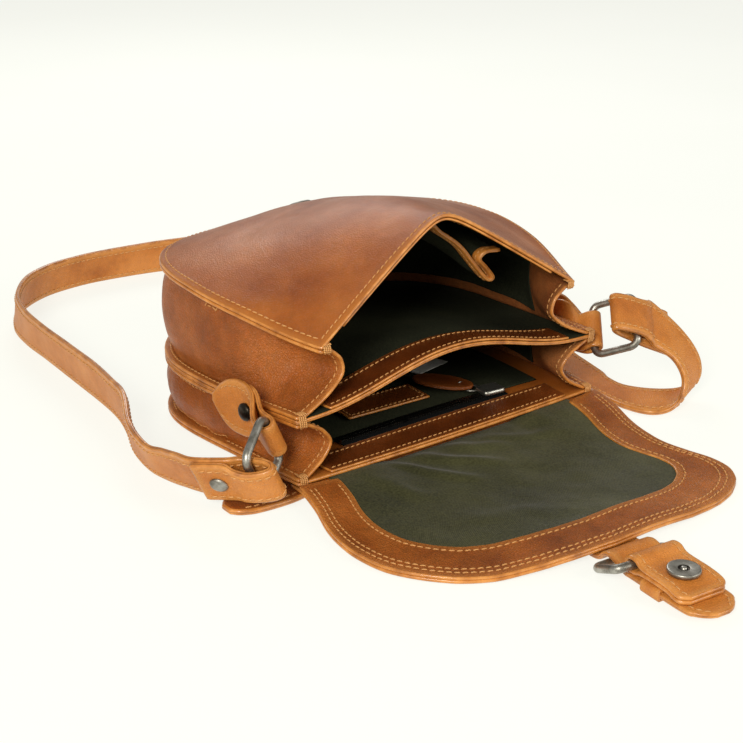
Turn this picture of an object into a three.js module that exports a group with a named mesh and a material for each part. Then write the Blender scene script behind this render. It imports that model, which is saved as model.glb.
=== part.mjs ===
import * as THREE from 'three';

// A leather shoulder bag with a flap, two compartments and a strap, lying opened on its back.
// Millimetres, +Z up. X runs across the bag, Y from the opening (near 0) to the curved bottom.
// The origin is the middle of the opening, on the surface that the bag lies on.

// Driving sizes of the body
const mouth_half = 98.5;
const front_mouth_half = 82.5;
const belly_half = 105;
// share of the outline from the opening to the bag's widest point
const side_share = 0.42;
const belly_depth = 88;
const bag_depth = 168;
const corner_power = 2.5;
const front_height = 88;
const middle_height = 40;
const back_height = 7.6;
const front_set_back = 2;
const tent_rise = 48;
const tent_set_back = 11;
const tent_softness = 0.12;
const front_bulge = 7;
const divider_bow = 15;
const back_dip = 1.4;
const back_bow = 1.6;
const pinch = 21;
const belly_out = 4;
const pinch_reach = 0.34;
const flange = 5;

// Walls and the space left between touching pieces
const leather = 1.8;
const lining = 0.9;
const facing_wall = 1.2;
const board = 2.0;
const gap = 0.3;

// Depths from the opening
const facing_depth = 22;
const lining_start = 18;

// Inner pocket, zip, leather patch and label
const pocket_half = 46;
const pocket_depth = 74;
const pocket_start = 24;
const pocket_droop = 6;
const pocket_wall = 1;
const pocket_ease = 1;
const binding_width = 7;
const binding_wall = 1.4;
const zip_half = 53;
const zip_width = 8;
const zip_wall = 1.6;
const slider_length = 11;
const slider_width = 8;
const slider_height = 4;
const pull_ring_radius = 4;
const pull_ring_wire = 0.7;
const puller_length = 34;
const puller_width = 16;
const patch_width = 52;
const patch_height = 20;
const label_width = 26;
const label_height = 14;
const puller_wall = 2;
const puller_x = 32;
const puller_y = 49;
const puller_turn = 2.1;
const patch_wall = 1.3;
const patch_x = -10;
const patch_y = 52;
const patch_turn = -0.04;
const label_wall = 0.5;
const label_x = 44;
const label_y = 80;
const snap_x = 6;
const snap_y = 150;
const front_snap_radius = 7.5;
const front_snap_height = 2.6;
const snap_ease = 0.35;

// Flap and its closure
const flap_half = 99;
const flap_length = 129;
const hinge_depth = 6;
const hinge_lift = 3.5;
const hinge_fall = 45;
const border_width = 21;
const closure_lift = 3.8;
const layer_ease = 0.85;
const closure_turn = 0.1;
const closure_width = 25;
const closure_length = 82;
const closure_wall = 2.4;
const closure_start = 112;
const closure_x = -12;
const keeper_width = 11;
const keeper_wall = 1.3;
const tab_width = 25;
const tab_length = 38;
const tab_wall = 1.9;
const snap_radius = 7.4;
const snap_wall = 1.5;
const buckle_wire = 2.1;
const buckle_bar_gap = 14.5;
const buckle_half = 18;
const buckle_shift = -2.5;

// Rings, tabs and the shoulder strap
const ring_wire = 2.1;
const ring_bar = 30;
const ring_side = 25.6;
const ring_corner = 5;
const left_ring_out = 9.5;
const right_ring_out = 8.5;
const ring_tab_length = 50;
const ring_tab_width = 27;
const ring_tab_wall = 2.2;
const strap_width = 25;
const strap_wall = 3;
const rivet_radius = 4.6;
const rivet_height = 2.2;
const rivet_at = 0.43;
const strap_buckle_wire = 1.6;
const strap_buckle_width = 34;
const strap_buckle_length = 22;
const strap_buckle_x = 133;
const strap_buckle_y = 134;

// Facets along each gusset, and across and down the panels
const gusset_steps = 24;
const front_steps = 12;
const front_rows = 14;
const back_steps = 10;
const back_rows = 8;

// Heights of the three seams from the opening (0) to the middle of the bottom (1),
// as shares of each seam's own height
const seam_profile = {
  front: [
    { at: 0, height: 0.835 },
    { at: 0.25, height: 0.94 },
    { at: 0.5, height: 1.0 },
    { at: 0.75, height: 0.99 },
    { at: 1, height: 0.955 },
  ],
  middle: [
    { at: 0, height: 1.0 },
    { at: 0.25, height: 0.925 },
    { at: 0.5, height: 0.89 },
    { at: 0.75, height: 0.91 },
    { at: 1, height: 0.95 },
  ],
  back: [
    { at: 0, height: 1.0 },
    { at: 0.25, height: 0.88 },
    { at: 0.5, height: 0.52 },
    { at: 0.75, height: 0.26 },
    { at: 1, height: 0.2 },
  ],
};
const seam_height = { front: front_height, middle: middle_height, back: back_height };
const seam_half = { front: front_mouth_half, middle: mouth_half, back: mouth_half };

// A gusset's section: how far down between its seams, how far in from the outline (in flanges)
// and how much of the fold or belly each row takes
const gusset_section = [
  { down: 0, inset: 0, fold: 0 },
  { down: 0, inset: 1, fold: 0 },
  { down: 0.1, inset: 1.1, fold: 0.3 },
  { down: 0.25, inset: 1.0, fold: 0.72 },
  { down: 0.5, inset: 1.0, fold: 1.0 },
  { down: 0.75, inset: 1.0, fold: 0.72 },
  { down: 0.9, inset: 1.1, fold: 0.3 },
  { down: 1, inset: 1, fold: 0 },
  { down: 1, inset: 0, fold: 0 },
];

// The flap's outline as it lies, from the hinge (0) to its lower edge (1): shares of flap_half
const flap_outline = [
  { along: 0, left: 0.99, right: 1.03 },
  { along: 0.155, left: 1.03, right: 0.99 },
  { along: 0.29, left: 1.085, right: 0.93 },
  { along: 0.42, left: 1.115, right: 0.885 },
  { along: 0.52, left: 1.115, right: 0.87 },
  { along: 0.63, left: 1.085, right: 0.89 },
  { along: 0.73, left: 1.01, right: 0.915 },
  { along: 0.825, left: 0.9, right: 0.9 },
  { along: 0.9, left: 0.75, right: 0.83 },
  { along: 0.955, left: 0.54, right: 0.71 },
  { along: 0.985, left: 0.36, right: 0.56 },
  { along: 1, left: 0.16, right: 0.36 },
];
const flap_middle = { across: -6, along: 20 };

// The strap's left run: its lower edge, and how far the upper edge leans from upright
const left_run = [
  { x: -139, y: 38, z: 5, lean_x: -9, lean_y: -9 },
  { x: -140, y: 54, z: 2.5, lean_x: -8, lean_y: -11 },
  { x: -140, y: 70, z: 1, lean_x: -9, lean_y: -12 },
  { x: -137, y: 91, z: 1.1, lean_x: -8, lean_y: -9 },
  { x: -129, y: 114, z: 0.8, lean_x: -3, lean_y: -1 },
  { x: -123, y: 136, z: 0.7, lean_x: -5, lean_y: -2 },
  { x: -120, y: 161, z: 0.7, lean_x: -5, lean_y: -2 },
  { x: -118, y: 201, z: 0.7, lean_x: -5, lean_y: -4 },
  { x: -116, y: 244, z: 0.7, lean_x: -5, lean_y: -5 },
  { x: -115, y: 274, z: 0.7, lean_x: -3, lean_y: -5 },
  { x: -110, y: 303, z: 0.7, lean_x: 1, lean_y: -5 },
  { x: -93, y: 334, z: 0.7, lean_x: 3, lean_y: -7 },
  { x: -68, y: 353, z: 0.7, lean_x: 2, lean_y: -9 },
  { x: -39, y: 361, z: 0.7, lean_x: 0, lean_y: -10 },
  { x: -8, y: 361, z: 0.7, lean_x: 0, lean_y: -10 },
  { x: 28, y: 355, z: 0.7, lean_x: -1, lean_y: -9 },
  { x: 68, y: 341, z: 0.7, lean_x: -3, lean_y: -8 },
  { x: 104, y: 315, z: 0.7, lean_x: -8, lean_y: -7 },
  { x: 132, y: 277, z: 0.7, lean_x: -16, lean_y: -5 },
  { x: 143, y: 237, z: 3.2, lean_x: -24.5, lean_y: -2 },
  { x: 142, y: 200, z: 5, lean_x: -24.95, lean_y: 0 },
  { x: 143, y: 168, z: 5.4, lean_x: -24.95, lean_y: 0 },
  { x: 144, y: 140, z: 5.4, lean_x: -24.95, lean_y: 1 },
  { x: 141, y: 112, z: 5.4, lean_x: -24.9, lean_y: 2 },
  { x: 131, y: 82.5, z: 5.4, lean_x: -23.6, lean_y: 8 },
];

// The free end under the bag: the edge nearest the opening, and the way across to the other edge
const tail_run = [
  { x: 131, y: 80, z: 5.6, across_x: -23.4, across_y: 8.8, across_z: -1.3 },
  { x: 123, y: 60, z: 6.3, across_x: -19.6, across_y: 15, across_z: -4.3 },
  { x: 106, y: 43, z: 2.6, across_x: -15, across_y: 20, across_z: -1.1 },
  { x: 90, y: 33, z: 1.6, across_x: -11, across_y: 22.5, across_z: 0 },
  { x: 60, y: 22, z: 1.6, across_x: -8, across_y: 23.7, across_z: 0 },
  { x: 0, y: 14, z: 1.6, across_x: -2, across_y: 24.9, across_z: 0 },
  { x: -50, y: 10.5, z: 1.6, across_x: -2, across_y: 24.9, across_z: 0 },
  { x: -76, y: 4.5, z: 1.6, across_x: -1.5, across_y: 24.5, across_z: 0 },
  { x: -100, y: -1.5, z: 1.6, across_x: -1, across_y: 23, across_z: 0 },
  { x: -120, y: -1, z: 1.6, across_x: 0, across_y: 21, across_z: 0 },
  { x: -129, y: 2, z: 1.6, across_x: 0, across_y: 14.5, across_z: 0 },
  { x: -133, y: 6, z: 1.6, across_x: 0, across_y: 6, across_z: 0 },
];

// The right run: its near edge, and the way across to its far edge
const right_run = [
  { x: 131.5, y: -29.5, z: 28, across_x: 17.5, across_y: 14.5, across_z: 10.3 },
  { x: 134.5, y: -34.5, z: 20, across_x: 20.8, across_y: 12, across_z: 7 },
  { x: 134, y: -37, z: 13, across_x: 22.7, across_y: 9.4, across_z: 4.6 },
  { x: 129.5, y: -38.5, z: 6.3, across_x: 23.2, across_y: 8.5, across_z: 3.6 },
  { x: 121, y: -38.5, z: 2.6, across_x: 22, across_y: 11.5, across_z: 2.6 },
  { x: 112, y: -33.5, z: 1.6, across_x: 19, across_y: 16, across_z: 2.5 },
  { x: 107, y: -20, z: 1.5, across_x: 17.5, across_y: 17.8, across_z: 1.5 },
  { x: 107, y: -2, z: 1.5, across_x: 20, across_y: 15, across_z: 0.5 },
  { x: 109, y: 14, z: 1.5, across_x: 23, across_y: 9.8, across_z: 0 },
  { x: 114, y: 45, z: 1.5, across_x: 24.6, across_y: 4, across_z: 0 },
  { x: 119, y: 66, z: 1.5, across_x: 25, across_y: 1, across_z: 0 },
  { x: 120, y: 90, z: 1.5, across_x: 25, across_y: 0, across_z: 0 },
  { x: 120, y: 118, z: 1.5, across_x: 25, across_y: 0, across_z: 0 },
];

const leather_tan = { color: 0xa9622f, roughness: 0.5, metalness: 0 };
const leather_light = { color: 0xc08a52, roughness: 0.55, metalness: 0 };
const leather_dark = { color: 0x5e3216, roughness: 0.6, metalness: 0 };
const cloth_green = { color: 0x3e4430, roughness: 0.75, metalness: 0 };
const cloth_white = { color: 0xe4e2dc, roughness: 0.8, metalness: 0 };
const zip_black = { color: 0x16161a, roughness: 0.5, metalness: 0.1 };
const nickel = { color: 0x8c8a82, roughness: 0.35, metalness: 1 };

const model = new THREE.Group();

function add(name, geometry, look) {
  const mesh = new THREE.Mesh(geometry, new THREE.MeshStandardMaterial(look));
  mesh.name = name;
  model.add(mesh);
  return mesh;
}

const vec = (x, y, z) => new THREE.Vector3(x, y, z);
const mix = (a, b, share) => a + (b - a) * share;

function smooth(low, high, value) {
  const share = Math.min(1, Math.max(0, (value - low) / (high - low)));
  return share * share * (3 - 2 * share);
}

// Value of one column of a table at a place in another column, on a smooth curve
function read(rows, key, column, place) {
  let i = 0;
  while (i < rows.length - 2 && rows[i + 1][key] < place) i += 1;
  const value = (k) => rows[Math.min(rows.length - 1, Math.max(0, k))][column];
  const share = Math.min(1, Math.max(0, (place - rows[i][key]) / (rows[i + 1][key] - rows[i][key])));
  const [a, b, c, d] = [value(i - 1), value(i), value(i + 1), value(i + 2)];
  const square = share * share;
  const cube = square * share;
  const bend = (2 * a - 5 * b + 4 * c - d) * square + (3 * b - a - 3 * c + d) * cube;
  return 0.5 * (2 * b + (c - a) * share + bend);
}

// Closed wall of even thickness over the surface point(u, v), with u and v from 0 to 1
function wall(point, along, across, thick, lift = 0) {
  const middle = [];
  for (let i = 0; i <= along; i += 1) {
    for (let j = 0; j <= across; j += 1) middle.push(point(i / along, j / across));
  }
  const at = (i, j) => i * (across + 1) + j;
  const position = [];
  const skin = (side) => {
    for (let i = 0; i <= along; i += 1) {
      for (let j = 0; j <= across; j += 1) {
        const du = middle[at(Math.min(along, i + 1), j)].clone().sub(middle[at(Math.max(0, i - 1), j)]);
        const dv = middle[at(i, Math.min(across, j + 1))].clone().sub(middle[at(i, Math.max(0, j - 1))]);
        const normal = du.cross(dv).normalize();
        const spot = middle[at(i, j)].clone().addScaledVector(normal, lift + side * thick / 2);
        position.push(spot.x, spot.y, spot.z);
      }
    }
  };
  skin(1);
  skin(-1);
  const under = (along + 1) * (across + 1);
  const index = [];
  for (let i = 0; i < along; i += 1) {
    for (let j = 0; j < across; j += 1) {
      const [a, b, c, d] = [at(i, j), at(i + 1, j), at(i + 1, j + 1), at(i, j + 1)];
      index.push(a, b, c, a, c, d);
      index.push(under + a, under + c, under + b, under + a, under + d, under + c);
    }
  }
  const rim = [];
  for (let i = 0; i < along; i += 1) rim.push([at(i, 0), at(i + 1, 0)], [at(i + 1, across), at(i, across)]);
  for (let j = 0; j < across; j += 1) rim.push([at(along, j), at(along, j + 1)], [at(0, j + 1), at(0, j)]);
  for (const [a, b] of rim) index.push(a, under + a, under + b, a, under + b, b);
  const geometry = new THREE.BufferGeometry();
  geometry.setAttribute('position', new THREE.Float32BufferAttribute(position, 3));
  geometry.setIndex(index);
  return geometry;
}

// Half width and depth of the bag's outline from the opening (0) to the middle of the bottom (1)
function outline(seam, place) {
  const set_back = seam === 'front' ? front_set_back : 0;
  if (place < side_share) {
    const share = place / side_share;
    const swell = Math.sin(share * Math.PI / 2);
    return { half: mix(seam_half[seam], belly_half, swell), depth: mix(set_back, belly_depth, share) };
  }
  const turn = (place - side_share) / (1 - side_share) * Math.PI / 2;
  const power = 2 / corner_power;
  const half = belly_half * Math.max(0, Math.cos(turn)) ** power;
  return { half, depth: belly_depth + (bag_depth - belly_depth) * Math.sin(turn) ** power };
}

// Point of a seam: place runs from -1 (left end) through 0 (middle of the bottom) to 1 (right end)
function seam_point(seam, place) {
  const share = 1 - Math.abs(place);
  const { half, depth } = outline(seam, share);
  const height = seam_height[seam] * read(seam_profile[seam], 'at', 'height', share);
  return vec(Math.sign(place) * half, depth, height);
}

// Outward direction of a seam, level with the surface below
function seam_out(seam, place) {
  const step = 0.012;
  const ahead = seam_point(seam, Math.min(1, place + step));
  const behind = seam_point(seam, Math.max(-1, place - step));
  const way = ahead.sub(behind);
  return vec(-way.y, way.x, 0).normalize();
}

// Surface spanned by an opening edge and a seam, in rows from the opening to the bottom
function panel(seam, mouth, raise) {
  const corner = 0.34;
  const left = (v) => seam_point(seam, -mix(1, corner, v));
  const right = (v) => seam_point(seam, mix(1, corner, v));
  const bottom = (u) => seam_point(seam, mix(-corner, corner, u));
  return (u, v) => {
    const spot = mouth(u).multiplyScalar(1 - v).addScaledVector(bottom(u), v);
    spot.addScaledVector(left(v), 1 - u).addScaledVector(right(v), u);
    spot.addScaledVector(mouth(0), -(1 - u) * (1 - v)).addScaledVector(mouth(1), -u * (1 - v));
    spot.addScaledVector(bottom(0), -(1 - u) * v).addScaledVector(bottom(1), -u * v);
    spot.z += raise(2 * u - 1, v);
    return spot;
  };
}

// Part of a surface, between shares of its width and of its depth
const part_of = (surface, u0, u1, v0, v1) => (u, v) => surface(mix(u0, u1, u), mix(v0, v1, v));

function tent(w) {
  const foot = Math.sqrt(1 + tent_softness ** 2);
  return (foot - Math.sqrt(w * w + tent_softness ** 2)) / (foot - tent_softness);
}

function front_mouth(u) {
  const w = 2 * u - 1;
  const foot = seam_point('front', -1);
  return vec(w * front_mouth_half, foot.y + tent_set_back * tent(w), foot.z + tent_rise * tent(w));
}

function middle_mouth(u) {
  const w = 2 * u - 1;
  const foot = seam_point('middle', -1);
  return vec(w * mouth_half, foot.y, foot.z + divider_bow * (1 - w * w) ** 3);
}

function back_mouth(u) {
  const w = 2 * u - 1;
  const foot = seam_point('back', -1);
  return vec(w * mouth_half, foot.y, foot.z - back_dip * (1 - w * w));
}

const dome_rise = (w, v) => (1 - w * w) * Math.sin(Math.PI * v);
const front_surface = panel('front', front_mouth, (w, v) => front_bulge * dome_rise(w, v));
const middle_surface = panel('middle', middle_mouth, () => 0);
const back_surface = panel('back', back_mouth, (w, v) => back_bow * dome_rise(w, v) ** 2);

// Gusset between two seams: place as for a seam, row from 0 (upper seam) to 1 (lower seam)
function gusset(upper, lower, upper_wall, lower_wall) {
  return (row, place) => {
    const at = row * (gusset_section.length - 1);
    const low = gusset_section[Math.min(gusset_section.length - 2, Math.floor(at))];
    const high = gusset_section[Math.min(gusset_section.length - 1, Math.floor(at) + 1)];
    const share = at - Math.min(gusset_section.length - 2, Math.floor(at));
    const down = mix(low.down, high.down, share);
    const inset = mix(low.inset, high.inset, share) * flange;
    const fold = mix(low.fold, high.fold, share);
    const top = seam_point(upper, place);
    const foot = seam_point(lower, place);
    top.z -= upper_wall / 2 + gap + leather / 2;
    foot.z += lower_wall / 2 + gap + leather / 2;
    const out = seam_out(lower, place);
    const open = smooth(0, pinch_reach, 1 - Math.abs(place));
    const swing = mix(-pinch + flange, belly_out, open) * fold;
    return top.lerp(foot, down).addScaledVector(out, swing - inset);
  };
}

function body() {
  const rows = gusset_section.length - 1;
  add('front_panel', wall(front_surface, front_steps, front_rows, leather), leather_tan);
  add('divider', wall(middle_surface, back_steps, back_rows, board), cloth_green);
  add('back_panel', wall(back_surface, back_steps, back_rows, leather), leather_tan);
  const front = gusset('front', 'middle', leather, board);
  const back = gusset('middle', 'back', board, leather);
  const turned = (surface) => (u, v) => surface(v, mix(-1, 1, u));
  add('front_gusset', wall(turned(front), gusset_steps, rows, leather), leather_tan);
  add('back_gusset', wall(turned(back), gusset_steps, rows, leather), leather_tan);
}

// Lining inside a gusset, from a little way in from the opening, between the flanges
function gusset_lining(surface) {
  const skipped = Math.ceil(lining_start / (bag_depth + belly_half) * gusset_steps / 2) + 1;
  const start = 1 - 2 * skipped / gusset_steps;
  const rows = gusset_section.length - 1;
  const row_in = 2 / rows;
  const sheet = (u, v) => surface(mix(row_in, 1 - row_in, v), mix(-start, start, u));
  const inner = -(leather / 2 + gap + lining / 2);
  return wall(sheet, gusset_steps - 2 * skipped, rows - 4, lining, inner);
}

function linings() {
  const under = leather / 2 + gap + lining / 2;
  const front_in = 1 / front_steps;
  const back_in = 1 / back_steps;
  const front = part_of(front_surface, front_in, 1 - front_in, 2 / front_rows, 1 - 1 / front_rows);
  add('front_lining', wall(front, front_steps - 2, front_rows - 3, lining, -under), cloth_green);
  add('front_gusset_lining', gusset_lining(gusset('front', 'middle', leather, board)), cloth_green);
  add('back_gusset_lining', gusset_lining(gusset('middle', 'back', board, leather)), cloth_green);
  const back_start = (facing_depth + zip_width + 3 * gap) / bag_depth;
  const back = part_of(back_surface, back_in, 1 - back_in, back_start, 1 - 1.2 * back_in);
  add('back_lining', wall(back, back_steps - 2, back_rows - 2, lining, under), cloth_green);
}

function facings() {
  const front_in = 1 / front_steps;
  const back_in = 1 / back_steps;
  const seam_gap = 0.004;
  const on_leather = leather / 2 + gap + facing_wall / 2;
  const on_board = board / 2 + gap + facing_wall / 2;
  const front = part_of(front_surface, front_in, 1 - front_in, 0, 2 / front_rows - seam_gap);
  add('front_facing', wall(front, front_steps - 2, 2, facing_wall, -on_leather), leather_dark);
  const middle = part_of(middle_surface, back_in, 1 - back_in, 0, 1 / back_rows);
  add('divider_facing', wall(middle, back_steps - 2, 1, facing_wall, on_board), leather_dark);
  const back = part_of(back_surface, back_in, 1 - back_in, 0, 1 / back_rows);
  add('back_facing', wall(back, back_steps - 2, 1, facing_wall, on_leather), leather_dark);
}

// Box with its middle at the origin, moved and turned to lie at a spot
function plate(width, depth, height, spot, turn = 0) {
  const geometry = new THREE.BoxGeometry(width, depth, height);
  return geometry.rotateZ(turn).translate(spot.x, spot.y, spot.z);
}

// The slip pocket hangs from the front lining: straight between its sides at the mouth,
// and closing up to the lining towards its foot
function front_pocket() {
  const side = 0.5 + pocket_half / (2 * front_mouth_half);
  const under = leather / 2 + 2 * gap + lining + pocket_wall / 2 + pocket_ease;
  const hang = (u, v) => {
    const deep = mix(pocket_start, pocket_start + pocket_depth, v) / bag_depth;
    const spot = front_surface(mix(1 - side, side, u), deep);
    const edge = front_surface(side, deep);
    const open = 1 - smooth(0, 0.9, v);
    spot.z = mix(spot.z, Math.min(spot.z, edge.z - pocket_droop * Math.sin(Math.PI * u)), open) - under;
    return spot;
  };
  add('slip_pocket', wall(hang, 10, 6, pocket_wall), cloth_green);
  const rim = (u, v) => {
    const spot = hang(u, 0);
    spot.y -= gap + binding_wall / 2;
    spot.z -= binding_width * v;
    return spot;
  };
  add('pocket_binding', wall(rim, 10, 1, binding_wall), leather_tan);
}

function zip_and_labels() {
  const on_back = leather / 2 + gap + zip_wall / 2;
  const side = 0.5 - zip_half / (2 * mouth_half);
  const start = (facing_depth + gap) / bag_depth;
  const tape = part_of(back_surface, side, 1 - side, start, start + zip_width / bag_depth);
  add('zip', wall(tape, back_steps - 2, 1, zip_wall, on_back), zip_black);
  const level = back_surface(0.5, start).z + on_back + zip_wall / 2 + 2 * gap;
  const zip_middle = facing_depth + gap + zip_width / 2;
  const slider_spot = vec(zip_half - slider_length / 2, zip_middle, level + slider_height / 2);
  add('zip_slider', plate(slider_length, slider_width, slider_height, slider_spot, -0.1), nickel);
  const ring = new THREE.TorusGeometry(pull_ring_radius, pull_ring_wire, 6, 12);
  const ring_y = slider_spot.y + slider_width / 2 + pull_ring_radius + pull_ring_wire + 2 * gap;
  ring.translate(slider_spot.x - slider_length / 2, ring_y, level + pull_ring_wire);
  add('zip_ring', ring, nickel);
  const puller = new THREE.CylinderGeometry(puller_length / 2, puller_length / 2, puller_wall, 24);
  puller.rotateX(Math.PI / 2).scale(1, puller_width / puller_length, 1).rotateZ(puller_turn);
  puller.translate(puller_x, puller_y, level + 2 * pull_ring_wire + gap + puller_wall / 2);
  add('zip_puller', puller, leather_dark);
  const patch_spot = vec(patch_x, patch_y, back_surface(0.45, patch_y / bag_depth).z);
  patch_spot.z += leather / 2 + 2 * gap + lining + patch_wall / 2 + 2 * gap;
  add('patch', plate(patch_width, patch_height, patch_wall, patch_spot, patch_turn), leather_tan);
  const label_spot = vec(label_x, label_y, back_surface(0.55, label_y / bag_depth).z);
  label_spot.z += leather / 2 + 2 * gap + lining + label_wall / 2 + 2 * gap;
  add('care_label', plate(label_width, label_height, label_wall, label_spot, 0.2), cloth_white);
}

function front_snap() {
  const u = 0.5 + snap_x / (2 * belly_half);
  const v = snap_y / bag_depth;
  const step = 0.01;
  const spot = front_surface(u, v);
  const along = front_surface(u + step, v).sub(front_surface(u - step, v)).normalize();
  const down = front_surface(u, v + step).sub(front_surface(u, v - step)).normalize();
  const out = along.clone().cross(down).normalize();
  spot.addScaledVector(out, leather / 2 + gap + snap_ease);
  const snap = add('front_snap', dome(front_snap_radius, front_snap_height), nickel);
  place(snap, spot, along, out.clone().cross(along), out);
}

// Height of the middle of the flap's leather where it lies
function flap_height(x, y) {
  const hinge = hinge_lift * smooth(38, 58, Math.abs(x)) * (1 - smooth(0, hinge_fall, -y));
  const over_strap = closure_lift * (1 - smooth(15, 75, Math.abs(x - closure_x))) * smooth(50, 108, -y);
  return leather / 2 + hinge + over_strap;
}

function flap_edge(share, side) {
  const reach = read(flap_outline, 'along', side, share) * flap_half;
  return vec(side === 'left' ? -reach : reach, -share * flap_length, 0);
}

function on_flap(spot) {
  spot.z = flap_height(spot.x, spot.y);
  return spot;
}

// The flap's surface: u across, v from under the back panel to the lower edge, drawn in by a factor
function flap_surface(start, scale) {
  return (u, v) => {
    const y = mix(start, -flap_length, v);
    const share = Math.max(0, -y / flap_length);
    const spot = flap_edge(share, 'left').lerp(flap_edge(share, 'right'), u);
    spot.x = mix(flap_middle.across, spot.x, scale);
    spot.y = mix(-flap_middle.along, y, scale);
    return on_flap(spot);
  };
}

function flap() {
  const shrink = 1 - border_width / flap_half;
  const over = leather / 2 + layer_ease;
  add('flap', wall(flap_surface(hinge_depth, 1), 12, 15, leather), leather_tan);
  const rim_points = flap_outline.map((row) => flap_edge(row.along, 'left'));
  for (const row of [...flap_outline].reverse()) rim_points.push(flap_edge(row.along, 'right'));
  const rim = new THREE.CatmullRomCurve3(rim_points, false, 'centripetal');
  const centre = vec(flap_middle.across, -flap_middle.along, 0);
  const border = (u, v) => {
    const spot = rim.getPointAt(u).lerp(centre, (1 - shrink) * v);
    spot.y = Math.min(spot.y, -2 * gap);
    return on_flap(spot);
  };
  add('flap_border', wall(border, 36, 2, facing_wall, over + facing_wall / 2), leather_tan);
  const cloth = flap_surface(-2 * gap - (1 / shrink - 1) * flap_middle.along, shrink - 2 * gap / flap_half);
  add('flap_lining', wall(cloth, 9, 9, lining, -over - lining / 2), cloth_green);
}

// Band of even width with one edge on a list of points and its other edge a way across from it
function band(edges, ways, steps, thick) {
  const edge = new THREE.CatmullRomCurve3(edges, false, 'catmullrom', 0.5);
  const way = new THREE.CatmullRomCurve3(ways, false, 'catmullrom', 0.5);
  return wall((u, v) => edge.getPoint(u).addScaledVector(way.getPoint(u), v), steps, 1, thick);
}

// Closed loop of round wire on a rounded rectangle in the local XZ plane
function wire_frame(width, height, corner, wire, sides = 6) {
  const shape = [];
  const turn_steps = 3;
  const corners = [[1, 1, 0], [-1, 1, 1], [-1, -1, 2], [1, -1, 3]];
  for (const [sx, sz, quarter] of corners) {
    for (let k = 0; k <= turn_steps; k += 1) {
      const angle = (quarter + k / turn_steps) * Math.PI / 2;
      const x = sx * (width / 2 - corner) + corner * Math.cos(angle);
      const z = sz * (height / 2 - corner) + corner * Math.sin(angle);
      shape.push(vec(x, 0, z));
    }
  }
  const count = shape.length;
  const position = [];
  const index = [];
  for (let i = 0; i < count; i += 1) {
    const way = shape[(i + 1) % count].clone().sub(shape[(i + count - 1) % count]).normalize();
    const out = vec(0, 1, 0).cross(way).normalize();
    for (let k = 0; k < sides; k += 1) {
      const angle = k / sides * 2 * Math.PI;
      const spot = shape[i].clone().addScaledVector(out, wire * Math.cos(angle));
      position.push(spot.x, wire * Math.sin(angle), spot.z);
      const next = (k + 1) % sides;
      const after = (i + 1) % count;
      const [a, b, c, d] = [i * sides + k, after * sides + k, after * sides + next, i * sides + next];
      index.push(a, c, b, a, d, c);
    }
  }
  const geometry = new THREE.BufferGeometry();
  geometry.setAttribute('position', new THREE.Float32BufferAttribute(position, 3));
  geometry.setIndex(index);
  return geometry;
}

// Low dome with its flat foot at z 0
function dome(radius, height, sides = 12) {
  const rows = [[0, 0], [radius, 0], [radius, height * 0.35], [radius * 0.8, height * 0.8], [0, height]];
  return new THREE.LatheGeometry(rows.map(([r, z]) => new THREE.Vector2(r, z)), sides).rotateX(Math.PI / 2);
}

// Place of a mesh whose local X, Y and Z run along three given directions
function place(mesh, spot, x_way, y_way, z_way) {
  mesh.matrixAutoUpdate = false;
  mesh.matrix.makeBasis(x_way, y_way, z_way).setPosition(spot);
  return mesh;
}

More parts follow.
